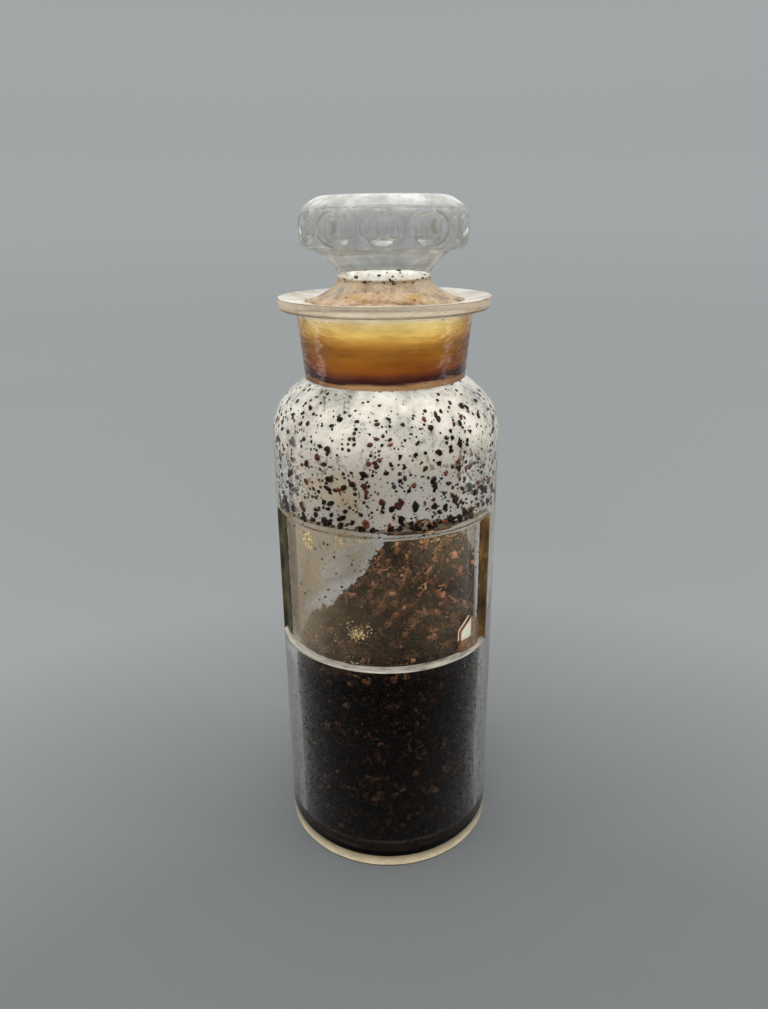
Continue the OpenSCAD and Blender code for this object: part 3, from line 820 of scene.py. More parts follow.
# The bottle's section: from the middle of the base out, up the outside, over the lip, down the socket and
# the inner wall, and in over the floor. Points lie closest at the lip, the panel's ledges and the shoulder.
def bottleOutline():
    b = bottle
    dome = bodyRadius - b["footRound"] - b["standRing"]
    across = np.linspace(0, dome, 12)
    under = np.stack([across, pushUpRise(across, dome)], 1)
    outside = roundedPath([
        [*under[-1], 0],
        [bodyRadius, 0, b["footRound"]],
        shoulderCorner(0),
        [b["neckFoot"], coneHeight(0, b["neckFoot"]), b["creaseRound"]],
        [b["neckTop"], lipFoot, b["neckRound"]],
        [b["lipRadius"] - b["lipSlant"], lipFoot + 0.2, b["lipFootRound"]],
        [b["lipRadius"], lipTop, b["lipRound"]],
        [b["socketTop"], socketTopZ, b["mouthRound"]],
        [b["socketFoot"], socketFootZ, b["socketRound"]],
        shoulderCorner(b["wall"]),
        [boreRadius, b["floor"], b["floorCorner"]],
        [dome, b["floor"], 0],
    ])
    fine = evenly(np.vstack([under[:-1], outside]), b["spacing"] / 6)
    radius, z = fine.T
    nearLedge = (np.abs(z - panel["low"] - 1) < 2.6) | (np.abs(z - panel["high"] + 0.6) < 2.8)
    nearLedge &= radius > boreRadius - 1
    curved = (z > b["shoulderZ"]) | (z < 12)
    nearLip = (z > lipFoot - 0.2) & (radius > b["lipRadius"] - 2)
    index = np.arange(len(fine))
    kept = (index % 6 == 0) | (nearLedge & (index % 2 == 0)) | (curved & (index % 3 == 0)) | nearLip
    back = np.linspace(dome, 0, 30)[1:]
    return np.vstack([fine[kept], np.stack([back, b["floor"] + pushUpRise(back, dome)], 1)])


# Glass of the bottle: its section turned round the axis, with the panel pressed in on the front. Sums of
# sines of height and azimuth make the inner wall wavy and leave tool marks on the neck.
def buildBottle():
    b = bottle
    outline = bottleOutline()
    even = np.arange(0, 360, b["turnStep"])
    ends = panel["halfAngle"] + np.arange(-1.0, panel["ramp"] + 3.2, 0.5)
    azimuth = np.unique(np.r_[even, ends, 360 - ends].round(3))[None]
    radius = np.repeat(outline[:, :1], azimuth.size, 1)
    z = np.repeat(outline[:, 1:], azimuth.size, 1)
    lipRow = np.argmax(outline[:, 1])
    row = np.arange(len(outline))[:, None]
    isOut = (row < lipRow) & (radius > bodyRadius - 1)
    isIn = (row > lipRow) & (radius > boreRadius - 0.5)
    radius = radius - panel["depth"] * np.where(isOut, outerShare(azimuth, z), 0)
    radius = radius - panel["depth"] * np.where(isIn, innerShare(azimuth, z), 0)
    turn = np.radians(azimuth)
    slow = np.sin(3 * turn + z / 17) + np.sin(5 * turn - z / 11 + 1) + np.sin(2 * turn + z / 29 + 2)
    wave = b["innerWave"] * slow * smooth((z - 8) / 8) * smooth((158 - z) / 8)
    radius = radius + np.where(isIn, wave, 0) * (radius > 5)
    fineMarks = np.sin(z * 2.1 + 1.2 * np.sin(2 * turn) + 0.6 * np.sin(5 * turn))
    marks = b["toolMark"] * fineMarks + b["toolMark"] * np.sin(z * 0.9 + 3 * turn)
    onNeck = smooth((z - coneHeight(0, b["neckFoot"]) - 1) / 3) * smooth((lipFoot - 1 - z) / 2)
    radius = radius + np.where((row < lipRow) & (radius > b["neckFoot"] - 1), marks * onNeck, 0)
    return turnedBody("bottleGlass", inSpace(radius, azimuth, z))


stopper = {
    "knobRadius": 26.6,
    "knobHeight": 16.4,
    "waistRadius": 14.2,
    "coneHeight": 4.2,
    "flareRadius": 22.5,
    "plugWall": 2.8,
    "gap": 0.07,
    "hollowRadius": 9.8,
    "hollowDome": 4.3,
    "roofDrop": 3.1,
    "prints": 12,
    "printTurn": 6.4,
    "printRadius": 18.0,
    "printDepth": 1.9,
    "printRise": 0.45,
    "printSoft": 0.35,
    "columns": 288,
    "spacing": 0.75,
}
knobLow = knobTop - stopper["knobHeight"]
hollowRoof = knobLow - stopper["roofDrop"]


# The stopper: its section turned round the axis, and the knob's side hollowed by twelve balls. Each radius is
# the smaller of the section's and the ball's, blended where they meet.
def buildStopper():
    s = stopper
    plugTop = socketRadius(socketTopZ) - s["gap"]
    plugLow = socketRadius(plugFoot) - s["gap"]
    outline = evenly(roundedPath([
        [0, knobTop, 0],
        [s["knobRadius"] - 6.6, knobTop - 0.3, 8.5],
        [s["knobRadius"] - 1.7, knobTop - 3.5, 7.0],
        [s["knobRadius"] + 0.8, knobLow + 0.43 * s["knobHeight"], 11.5],
        [s["knobRadius"] - 1.2, knobLow + 1.1, 3],
        [s["knobRadius"] - 6.2, knobLow - 0.2, 3],
        [s["waistRadius"] + 1.4, knobLow - s["coneHeight"], 5],
        [s["waistRadius"] - 0.4, lipTop + 0.42 * (knobLow - lipTop), 6],
        [s["waistRadius"] + 2.4, lipTop + 2.2, 3],
        [s["flareRadius"], socketTopZ + 0.4, 2],
        [plugTop, socketTopZ, 0.8],
        [plugLow, plugFoot, 1.1],
        [plugLow - s["plugWall"], plugFoot, 1.0],
        [socketRadius(socketTopZ - 6) - s["gap"] - s["plugWall"] - 0.4, socketTopZ - 6, 5],
        [s["hollowRadius"], lipTop + 1.6, 5],
        [s["hollowRadius"], hollowRoof, s["hollowDome"]],
        [0, hollowRoof, 0],
    ]), s["spacing"])
    azimuth = np.linspace(0, 360, s["columns"], endpoint=False)[None]
    radius = np.repeat(outline[:, :1], s["columns"], 1)
    z = np.repeat(outline[:, 1:], s["columns"], 1)
    pitch = 360 / s["prints"]
    off = np.radians((azimuth - s["printTurn"] + pitch / 2) % pitch - pitch / 2)
    ballAway = s["knobRadius"] - s["printDepth"] + s["printRadius"]
    dz = z - (knobLow + s["printRise"] * s["knobHeight"])
    inside = s["printRadius"] ** 2 - dz ** 2 - (ballAway * np.sin(off)) ** 2
    ball = np.where(inside > 0, ballAway * np.cos(off) - np.sqrt(np.maximum(inside, 0)), 1e3)
    soft = s["printSoft"]
    blend = np.clip(0.5 + 0.5 * (ball - radius) / soft, 0, 1)
    softCut = ball * (1 - blend) + radius * blend - soft * blend * (1 - blend)
    onKnob = (z > knobLow - 2) & (radius > s["knobRadius"] - 8) & (np.abs(ball - radius) < soft)
    radius = np.where(onKnob, softCut, np.minimum(radius, ball))
    upwards = inSpace(radius, azimuth, z)[::-1]  # the section runs from the knob down
    return turnedBody("stopperGlass", upwards)


# A small ball of triangles: an octahedron whose faces are split in four, level times, with the new corners
# moved out to radius 1
def ballShape(level):
    corners = np.array([[1, 0, 0], [-1, 0, 0], [0, 1, 0], [0, -1, 0], [0, 0, 1], [0, 0, -1]], float)
    faces = [[0, 2, 4], [2, 1, 4], [1, 3, 4], [3, 0, 4], [2, 0, 5], [1, 2, 5], [3, 1, 5], [0, 3, 5]]
    for _ in range(level):
        known, finer = {}, []
        points = list(corners)

        def middle(a, b):
            key = (min(a, b), max(a, b))
            if key not in known:
                known[key] = len(points)
                points.append((points[a] + points[b]) / np.linalg.norm(points[a] + points[b]))
            return known[key]

        for a, b, c in faces:
            ab, bc, ca = middle(a, b), middle(b, c), middle(c, a)
            finer += [[a, ab, ca], [ab, b, bc], [ca, bc, c], [ab, bc, ca]]
        corners, faces = np.array(points), finer
    return corners, np.array(faces)


# Random turns as matrices, each from a random quaternion of length 1
def turnsOf(rng, count):
    q = rng.normal(size=(count, 4))
    q /= np.linalg.norm(q, axis=1, keepdims=True)
    w, x, y, z = q.T
    return np.stack([
        np.stack([1 - 2 * (y * y + z * z), 2 * (x * y - z * w), 2 * (x * z + y * w)], -1),
        np.stack([2 * (x * y + z * w), 1 - 2 * (x * x + z * z), 2 * (y * z - x * w)], -1),
        np.stack([2 * (x * z - y * w), 2 * (y * z + x * w), 1 - 2 * (x * x + y * y)], -1),
    ], 1)


fibreStretch = np.array([0.27, 0.32, 2.2])


# Irregular grains: a small ball is dented, stretched, sized, turned and moved for every grain. A share of
# them are fibres, and a limit, where given, presses them flat against what holds them.
def buildGrains(name, centres, sizes, rng, longest=1.6, dent=0.28, limit=None, tones=None, fibres=0.0):
    shape, faces = ballShape(1)
    count = len(centres)
    stretch = rng.uniform(1 / longest, longest, (count, 1, 3)) ** 0.8
    isFibre = (rng.uniform(0, 1, count) < fibres)[:, None, None]
    stretch = np.where(isFibre, fibreStretch, stretch)
    dents = 1 + dent * rng.uniform(-1, 1, (count, len(shape), 1))
    local = shape[None] * dents * stretch * np.asarray(sizes)[:, None, None]
    points = np.einsum("nij,nvj->nvi", turnsOf(rng, count), local) + centres[:, None]
    if limit is not None:
        points = limit(points)
    every = (faces[None] + len(shape) * np.arange(count)[:, None, None]).reshape(-1, 3)
    made = makeObject(name, points.reshape(-1, 3), every)
    tone = np.repeat(rng.random(count) if tones is None else tones, len(shape))
    layer = made.data.attributes.new("tone", "FLOAT", "POINT")
    layer.data.foreach_set("value", tone.astype(np.float32))
    return made


# Holds points inside the inner wall by a margin: beyond it, their distance from the axis is scaled down to
# that of the wall, of the arc at the floor's corner or of the arc at the shoulder
def insideWall(margin):
    def limit(points):
        radius = np.hypot(points[..., 0], points[..., 1])
        azimuth = np.degrees(np.arctan2(points[..., 0], -points[..., 1]))
        z = points[..., 2]
        corner = bottle["floor"] + bottle["floorCorner"]
        wall = innerRadius(azimuth, z)
        drop = np.clip(corner - z, 0, bottle["floorCorner"])
        wall = wall - bottle["floorCorner"] + np.sqrt(np.maximum(bottle["floorCorner"] ** 2 - drop ** 2, 0))
        over = np.clip(z - bottle["shoulderZ"], 0, None)
        arc = bottle["shoulderRadius"] - bottle["wall"]
        bent = boreRadius - arc + np.sqrt(np.maximum(arc ** 2 - over ** 2, 0))
        wall = np.where(over > 0, bent, wall) - margin
        scale = np.minimum(1, wall / np.maximum(radius, 1e-6))
        held = points.copy()
        held[..., 0] *= scale
        held[..., 1] *= scale
        held[..., 2] = np.maximum(held[..., 2], bottle["floor"] + 0.2)
        return held
    return limit


contents = {
    "sideGrains": 5800,
    "sideSize": (0.30, 1.30),
    "sideReach": 40,
    "topGrains": 5400,
    "topSize": (0.32, 1.35),
    "smaller": 1.8,
    "seed": 11,
    "inset": 1.4,
    "footInset": 0.35,
    "margin": 0.12,
    "fibres": 0.42,
    "topFibres": 0.72,
    "stray": 3.0,
}
goldenTurn = 137.5  # degrees from one scattered grain to the next


# Patches about 9 mm across where crumbs cling together: products of sines, from 0 to 1
def clumps(x, y):
    first = np.sin(0.62 * x + 1.3 * np.sin(0.31 * y)) * np.sin(0.71 * y + 1.1 * np.sin(0.27 * x))
    second = np.sin(0.45 * x - 0.53 * y + 2)
    return np.clip(0.5 + 0.45 * first + 0.2 * second, 0, 1)


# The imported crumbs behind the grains: rings from the floor's middle out, round the corner as an arc, up the
# wall to the heap's rim and in over the heap. Going up, they stand further in from the glass.
def buildBed():
    columns = 160
    azimuth = np.linspace(0, 360, columns, endpoint=False)[None]
    inset = contents["footInset"]
    floorZ = bottle["floor"] + bottle["pushUp"] + 0.3
    floorRows = np.linspace(0.01, boreRadius - bottle["floorCorner"], 12)[:, None]
    corner = np.radians(np.linspace(-84, 0, 8))[:, None]
    cornerR = boreRadius - bottle["floorCorner"] + (bottle["floorCorner"] - inset) * np.cos(corner)
    cornerZ = bottle["floor"] + bottle["floorCorner"] + (bottle["floorCorner"] - inset) * np.sin(corner)
    rim = rimHeight(azimuth)
    up = np.linspace(0, 1, 46)[1:, None]
    sideZ = cornerZ[-1] + (rim - cornerZ[-1]) * up
    inset = inset + (contents["inset"] - inset) * smooth((sideZ - cornerZ[-1]) / 8)
    sideR = innerRadius(azimuth, sideZ) - inset
    inset = contents["inset"]
    inward = np.linspace(1, 0, 40)[1:, None]
    topR = (innerRadius(azimuth, rim) - inset) * inward
    topXy = inSpace(topR, azimuth, 0)
    topZ = heapTop(topXy[..., 0], topXy[..., 1])
    one = np.ones((1, columns))
    radius = np.vstack([floorRows * one, cornerR * one, sideR, topR])
    z = np.vstack([np.full((len(floorRows), columns), floorZ), cornerZ * one, sideZ, topZ])
    made = turnedBody("crumbBed", inSpace(radius, azimuth, z))
    made.data.attributes.new("tone", "FLOAT", "POINT")  # all 0, the darkest
    return made


# Random sizes between the smallest and the largest; the higher the power, the more of them are small
def spreadSizes(rng, span, count, power):
    small, large = span
    return small + (large - small) * rng.uniform(0, 1, count) ** power


# Grains on the side are spread over the wall up to the heap's rim, and a few stray above it as an
# exponential spread. Those above are half as large, and those along the rim are the largest.
def buildSideGrains(name, seed):
    c = contents
    rng = np.random.default_rng(seed)
    azimuth = rng.uniform(-180, 180, c["sideGrains"] * 2)
    z = rng.uniform(bottle["floor"] + 0.8, heap["low"] + c["sideReach"], len(azimuth))
    above = z - rimHeight(azimuth)
    stray = rng.exponential(c["stray"], len(z)) * (rng.uniform(0, 1, len(z)) < 0.3)
    keep = np.flatnonzero(above < 0.5 + stray)[: c["sideGrains"]]
    azimuth, z, above = azimuth[keep], z[keep], above[keep]
    size = spreadSizes(rng, c["sideSize"], len(z), c["smaller"])
    size *= np.where(above > 0.5, 0.5, 1 + 0.6 * smooth((z - heap["low"]) / 10))
    radius = innerRadius(azimuth, z) - 0.1 - rng.uniform(0.4, 1.2, len(z)) * size
    tones = 0.95 * rng.uniform(0, 1, len(z)) ** 2.8 + 0.34 * clumps(np.radians(azimuth) * boreRadius, z)
    return buildGrains(name, inSpace(radius, azimuth, z), size, rng, limit=insideWall(c["margin"]),
                       fibres=c["fibres"], dent=0.32, tones=tones)


# Grains on top lie on the heap: each turns on by the golden angle, at a distance that grows as the square
# root of its number, so they are evenly scattered
def buildTopGrains():
    c = contents
    rng = np.random.default_rng(c["seed"] + 5)
    k = np.arange(c["topGrains"])
    reach = (boreRadius - panel["depth"] - 0.9) * np.sqrt((k + 0.5) / c["topGrains"])
    place = inSpace(reach, k * goldenTurn + rng.uniform(-4, 4, len(k)), 0)
    size = spreadSizes(rng, c["topSize"], len(k), c["smaller"])
    place[:, 2] = heapTop(place[:, 0], place[:, 1]) + rng.uniform(0.1, 0.9, len(k)) * size
    tones = -0.12 + 0.62 * rng.uniform(0, 1, len(k)) + 0.78 * clumps(place[:, 0], place[:, 1])
    return buildGrains("topGrains", place, size, rng, limit=insideWall(c["margin"]), fibres=c["topFibres"],
                       dent=0.4, tones=tones)


specks = {
    "high": 1750,
    "low": 300,
    "size": (0.14, 0.95),
    "largestLow": 0.34,
    "seed": 23,
    "bottom": 84.0,
    "sunk": 0.22,
    "shelfCount": 74,
    "shelfSize": (0.3, 1.35),
    "stopperCount": 130,
    "stopperSize": (0.12, 0.74),
}


# Where the inner wall lies after a way up it from a starting height, set in by a seat: straight up to the
# shoulder, then along the shoulder's arc
def wallPlace(way, azimuth, bottom, seat):
    arc = bottle["shoulderRadius"] - bottle["wall"]
    straight = bottle["shoulderZ"] - bottom
    bend = np.maximum(way - straight, 0) / arc
    flatZ = bottom + np.minimum(way, straight)
    bentRadius = boreRadius - arc + (arc - seat) * np.cos(bend)
    radius = np.where(bend > 0, bentRadius, innerRadius(azimuth, flatZ) - seat)
    z = np.where(bend > 0, bottle["shoulderZ"] + (arc - seat) * np.sin(bend), flatZ)
    return inSpace(radius, azimuth, z)


# Specks are stuck to the inner wall, a little sunk into its film. Most are above the inner shelf, and the
# largest are the lowest of those.
def buildSpecks():
    rng = np.random.default_rng(specks["seed"])
    shelf = panel["high"] + 0.6
    arcLength = (bottle["shoulderRadius"] - bottle["wall"]) * np.radians(bottle["shoulderTurn"])
    wayUp = bottle["shoulderZ"] - shelf + arcLength
    highWay = shelf - specks["bottom"] + wayUp * rng.uniform(0, 1, specks["high"])
    lowWay = (shelf - specks["bottom"]) * rng.uniform(0, 1, specks["low"])
    way = np.r_[highWay, lowWay]
    azimuth = rng.uniform(-180, 180, len(way))
    size = spreadSizes(rng, specks["size"], len(way), 2.6)
    size *= 1.12 - 0.4 * smooth((way - shelf + specks["bottom"]) / 40)
    size[specks["high"]:] = np.minimum(size[specks["high"]:], specks["largestLow"])
    place = wallPlace(way, azimuth, specks["bottom"], -specks["sunk"] * size)
    return buildGrains("shoulderSpecks", place, size, rng, longest=1.7, dent=0.34)


# Crumbs crowd in the corner between the wall and the inner shelf, most of them low
def buildShelfCrumbs():
    rng = np.random.default_rng(specks["seed"] + 1)
    count = specks["shelfCount"]
    azimuth = rng.uniform(-panel["halfAngle"], panel["halfAngle"], count)
    size = spreadSizes(rng, specks["shelfSize"], count, 2.2)
    shelfZ = panel["high"] - panel["ledge"] + panel["innerSpread"] + 0.5 * panel["shelf"]
    z = shelfZ + 0.5 * size + rng.uniform(0, 1, count) ** 2 * 2.2
    radius = boreRadius + 0.15 * size
    tones = 0.6 * rng.uniform(0, 1, count)
    return buildGrains("shelfSpecks", inSpace(radius, azimuth, z), size, rng, longest=1.7, tones=tones)


# Crumbs in the stopper's hollow: some lie on its rounded roof, at an angle round the roof's arc, and the rest
# hang down its side
def buildStopperCrumbs():
    rng = np.random.default_rng(specks["seed"] + 2)
    count = specks["stopperCount"]
    dome = stopper["hollowDome"]
    lean = np.radians(rng.uniform(0, 80, count))
    size = spreadSizes(rng, specks["stopperSize"], count, 2.4)
    onSide = rng.uniform(0, 1, count) < 0.65
    low = np.where(onSide, 0.4 + 2.6 * rng.uniform(0, 1, count) + 4 * (rng.uniform(0, 1, count) < 0.3), 0)
    lean = np.where(onSide, 0, lean)
    radius = stopper["hollowRadius"] - dome + (dome - 0.1 * size) * np.cos(lean)
    z = hollowRoof - dome + (dome - 0.1 * size) * np.sin(lean) - low
    azimuth = rng.uniform(-180, 180, count)
    return buildGrains("stopperSpecks", inSpace(radius, azimuth, z), size, rng, longest=1.5, dent=0.2)


# Azimuths of the strips' inner and outer edges, and what both share
borders = {"leftStrip": (-58.4, -71.6), "rightStrip": (64.3, 71.6)}
strip = {"endGap": 0.2, "rows": 120, "columns": 26, "under": 0.04, "thick": 0.34, "thin": 0.05, "sunk": 0.02}


# A stained strip of the label's border: a thin sheet that lies on the panel's end and up its ramp, thinner
# towards both edges. Its inner edge wanders as sines of the height.
def buildBorder(name):
    inner, outer = borders[name]
    floorLow, floorHigh = panel["low"] + panel["ledge"], panel["high"] - panel["ledge"]
    z = np.linspace(floorLow + strip["endGap"], floorHigh - strip["endGap"], strip["rows"])[:, None]
    ragged = 0.35 * np.sin(z * 1.7) + 0.25 * np.sin(z * 3.9 + 1) + 0.2 * np.sin(z * 7.3 + 2)
    share = np.linspace(0, 1, strip["columns"])[None]
    azimuth = inner + ragged + (outer - (inner + ragged)) * share
    under = outerRadius(azimuth, z) + strip["under"]
    thick = strip["thick"] * np.minimum(1, 10 * share) * np.minimum(1, 5 * (1 - share)) + strip["thin"]
    over = np.minimum(under + thick, bodyRadius - strip["sunk"])
    under = np.minimum(under, over - strip["sunk"])
    front = inSpace(over, azimuth, z)
    behind = inSpace(under, azimuth, z)
    loop = np.concatenate([front, behind[:, ::-1]], 1)
    if outer < inner:
        loop = loop[::-1]  # a strip that runs the other way round is turned over, so that it faces outwards
    rows, columns = loop.shape[:2]
    faces = gridFaces(rows, columns).tolist()
    half = np.arange(columns // 2 - 1)
    for first, flip in ((0, False), ((rows - 1) * columns, True)):
        cap = np.stack([half, columns - 1 - half, columns - 2 - half, half + 1], 1) + first
        faces += (cap[:, ::-1] if flip else cap).tolist()
    return makeObject(name, loop.reshape(-1, 3), faces)


# Chips of gold leaf by cluster: azimuth, height, spread across and up in mm, how many, smallest and largest
goldClusters = [
    (-36.2, 122.6, 1.8, 2.6, 200, 0.45, 1.0),
    (-16.0, 124.4, 1.8, 1.9, 40, 0.25, 0.70),
    (-5.0, 125.8, 2.2, 0.4, 16, 0.15, 0.40),
    (-7.2, 94.4, 3.6, 3.4, 120, 0.12, 0.55),
    (-8.5, 93.2, 1.9, 1.9, 64, 0.25, 0.70),
    (31.8, 125.4, 3.6, 0.8, 34, 0.20, 0.55),
    (60.5, 117.0, 0.8, 1.8, 16, 0.20, 0.50),
    (-10.0, 83.0, 3.4, 0.4, 22, 0.15, 0.40),
    (14.0, 83.0, 4.0, 0.3, 10, 0.12, 0.30),
    (-20.0, 90.0, 16.0, 6.0, 90, 0.07, 0.20),
    (-44.0, 88.0, 9.0, 6.0, 50, 0.07, 0.18),
]
leafChips = {
    "seed": 41,
    "swing": 1.1,
    "smaller": 1.8,
    "dents": (0.45, 1.25),
    "narrowing": (0.3, 0.9),
    "thick": 0.10,
    "lift": 0.16,
    "tilt": 0.22,
}


# Thin chips lie on the panel's floor, each turned and tilted a little: a centre plus steps along the floor's
# own three directions
def buildLeaf():
    chips = leafChips
    rng = np.random.default_rng(chips["seed"])
    table = np.vstack([np.repeat([cluster], cluster[4], 0) for cluster in goldClusters])
    count = len(table)
    swing = rng.normal(0, 0.5, (count, 2)).clip(-chips["swing"], chips["swing"])
    azimuth = table[:, 0] + np.degrees(swing[:, 0] * table[:, 2] / (bodyRadius - panel["depth"]))
    z = table[:, 1] + swing[:, 1] * table[:, 3]
    z = np.clip(z, panel["low"] + panel["ledge"] + 0.1, panel["high"] - panel["ledge"] - 0.1)
    size = table[:, 5] + (table[:, 6] - table[:, 5]) * rng.uniform(0, 1, count) ** chips["smaller"]
    shape, faces = ballShape(0)
    shape = shape * rng.uniform(*chips["dents"], (count, len(shape), 1))
    thick = np.full(count, chips["thick"])
    local = shape * np.stack([size, size * rng.uniform(*chips["narrowing"], count), thick], 1)[:, None]
    spin = rng.uniform(0, np.pi, count)
    tilt = rng.normal(0, chips["tilt"], count)
    cosSpin, sinSpin = np.cos(spin)[:, None], np.sin(spin)[:, None]
    across = local[..., 0] * cosSpin - local[..., 1] * sinSpin
    up = local[..., 0] * sinSpin + local[..., 1] * cosSpin
    out = np.maximum(local[..., 2] + across * np.tan(tilt)[:, None], -0.1) + chips["lift"]
    radius = outerRadius(azimuth, z)[:, None] + out
    turn = np.radians(azimuth)[:, None]
    x = radius * np.sin(turn) + across * np.cos(turn)
    y = -radius * np.cos(turn) + across * np.sin(turn)
    points = np.stack([x, y, z[:, None] + up], -1)
    every = (faces[None] + shape.shape[1] * np.arange(count)[:, None, None]).reshape(-1, 3)
    return makeObject("goldLeaf", points.reshape(-1, 3), every, smoothFaces=False)


# Gives a new piece its materials and its body, and hides the nodes of the part that it stands for. The slot
# is not used.
def dress(made, materials, body, slot, *nodes):
    for material in materials:
        made.data.materials.append(material)
    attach(made, body)
    if nodes:
        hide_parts(*nodes)


# Gives a node of the part another material and leaves its shape alone
def repaint(node, material):
    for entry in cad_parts[node].material_slots:
        entry.material = material


print("camera")
view = {
    "focalPixels": 780.92,
    "imageHeight": 1009,
    "sensor": 36,
    "clipStart": 0.01,
    "pitch": 0.3531,
    "roll": -0.0102,
    "away": 254.1,
    "height": 218.5,
    "side": -0.82,
    "turn": 7.4,
}


# The camera's axes come from its pitch and roll in radians, and the whole is turned round the bottle
def placeCamera():
    camera = bpy.data.cameras.new("camera")
    camera.sensor_width = view["sensor"]
    camera.lens = view["focalPixels"] / view["imageHeight"] * camera.sensor_width
    camera.clip_start = view["clipStart"]
    made = bpy.data.objects.new("camera", camera)
    bpy.context.collection.objects.link(made)
    forward = Vector((0, np.cos(view["pitch"]), -np.sin(view["pitch"])))
    right = Vector((1, 0, 0))
    up = right.cross(forward)
    tilted = right * np.cos(view["roll"]) + up * np.sin(view["roll"])
    upright = up * np.cos(view["roll"]) - right * np.sin(view["roll"])
    axes = Matrix((tilted, upright, -forward)).transposed().to_4x4()
    place = Matrix.Translation(Vector((view["side"], -view["away"], view["height"])) * toMetres)
    made.matrix_world = Matrix.Rotation(np.radians(view["turn"]), 4, "Z") @ place @ axes
    bpy.context.scene.camera = made


placeCamera()

print("materials")
clearGlass = coatedGlass("clearGlass", dust)
neckGlass = coatedGlass("neckGlass", neckDust)
lipTopGlass = coatedGlass("lipTopGlass", lipTopDust)
lipEdge = coatedGlass("lipEdge", lipLine)
jointAmber = amberMaterial("jointAmber")
filmHighlightGlass = coatedGlass("filmHighlightGlass", filmAndHighlight)
frostedShadedLedge = coatedGlass("frostedShadedLedge", frostAndPaintedLight)
footHighlightGlass = coatedGlass("wornFootAndHighlight", wornFootAndHighlight)
residueGlass = coatedGlass("residueGlass", residue)
contactGlass = coatedGlass("contactGlass", contact)
hazyWindow = coatedGlass("hazyWindow", windowFilm)
stainedLedge = coatedGlass("stainedLedge", topStain)
knobGlass = coatedGlass("knobGlass", knobHazeAndLight)
knobCapHighlight = coatedGlass("knobCapHighlight", capHazeAndHighlight)
hollowGlass = coatedGlass("hollowGlass", hollowDust)
bedCrumbs = crumbMaterial("bedCrumbs", bedLook)
darkSpecks = crumbMaterial("darkSpecks", speckLook)
leaf = plainMaterial("agedLeaf", leafStops, 900, 0.30, metallic=0.8)
border = plainMaterial("labelBorder", borderStops, 420, 0.34, metallic=0.6)
white = plainMaterial("labelWhite", whiteStops, 520, 0.45)
shadedBorder = plainMaterial("shadedBorderStrip", shadedBorderStops, 120, 0.5, gloss=0.12)
litBorder = plainMaterial("litBorderStrip", litBorderStops, 120, 0.5, gloss=0.12)
resin = plainMaterial("hardResin", resinStops, 300, 0.2)

print("glass")
# Where the looks of the glass change, as heights, radii and gaps in mm
bands = {
    "inside": 2.0,  # a face this far inside the body's radius is on the inner wall or the socket
    "mouthGap": 0.4,
    "jointFoot": 168.9,
    "jointRadii": (20.0, 26.0),
    "neckFoot": 172.0,
    "neckRadius": 29.0,
    "neckGap": 3.0,
    "panelFloor": 1.3,
    "footRing": 10.4,
    "lipLine": 0.35,
    "lipUnder": 190.0,
    "plugGap": 0.4,
    "plugTopGap": 0.5,
    "hollowTop": 207.0,
    "hollowGap": 0.4,
    "hollowMouth": 21.8,
    "capHeight": 4.2,
}


# The looks of the bottle's faces: the film, the joint and the crumbs on its inside, the dust on its outside
def bottleLooks(radius, z, azimuth, outward, upward):
    b = bands
    low, high = panel["low"], panel["high"]
    inside = radius < bodyRadius - b["inside"]
    underMouth = z < socketTopZ - b["mouthGap"]
    onNeck = (z > b["neckFoot"]) & (z < lipTop - b["neckGap"]) & (radius < b["neckRadius"])
    inJoint = (radius > b["jointRadii"][0]) & (radius < b["jointRadii"][1])
    onWall = (radius < boreRadius + 1) & (outward < 0.1)
    onLedge = radius > boreRadius + 1
    underLip = (radius > bottle["neckTop"] + 3) & (z > b["lipUnder"]) & (z < lipFoot + 0.9)
    rim = rimHeight(azimuth)
    return [
        (filmHighlightGlass, inside & underMouth & (z > bottle["floor"] + 3) & (outward < 0)),
        (contactGlass, inside & (z > bottle["floor"] - 1) & (outward < 0.1) & (z < rim)),
        (stainedLedge, onLedge & (upward < -0.2) & (z > high - 3) & (z < high + 1)),
        (neckGlass, onNeck & (outward > 0.8)),
        (hazyWindow, onWall & (z < high) & (z >= rim)),
        (jointAmber, inJoint & underMouth & (outward < -0.7) & (z > b["jointFoot"])),
        (residueGlass, (radius < bodyRadius - b["panelFloor"]) & (outward > 0.9) & (z > low) & (z < high)),
        (frostedShadedLedge, onLedge & (upward > 0.2) & (z > low - 1) & (z < low + 3)),
        (footHighlightGlass, (upward < -0.3) & (z < bottle["pushUp"] + 0.3) & (radius > bodyRadius - b["footRing"])),
        (lipTopGlass, (upward > 0.6) & (z > lipTop - 1.4) & (radius > bottle["socketTop"])),
        (lipEdge, (radius > bottle["lipRadius"] - b["lipLine"]) & (z > lipTop - 0.5) & (outward > 0.3)),
        (lipEdge, underLip & (outward > 0.2)),
    ]


# The looks of the stopper's faces: the hollow's inside, the ground plug and the top of the knob
def stopperLooks(radius, z, azimuth, outward, upward):
    b = bands
    inHollow = radius < stopper["hollowRadius"] + b["hollowGap"]
    inHollow |= (outward < -0.1) & (radius < b["hollowMouth"])
    onPlug = (z > plugFoot + b["plugGap"]) & (z < socketTopZ - b["plugTopGap"])
    onPlug &= radius > b["jointRadii"][0]
    return [
        (hollowGlass, (z < b["hollowTop"]) & inHollow),
        (jointAmber, onPlug & (outward > 0.7)),
        (knobCapHighlight, (z > knobTop - b["capHeight"]) & (upward > 0.35)),
    ]


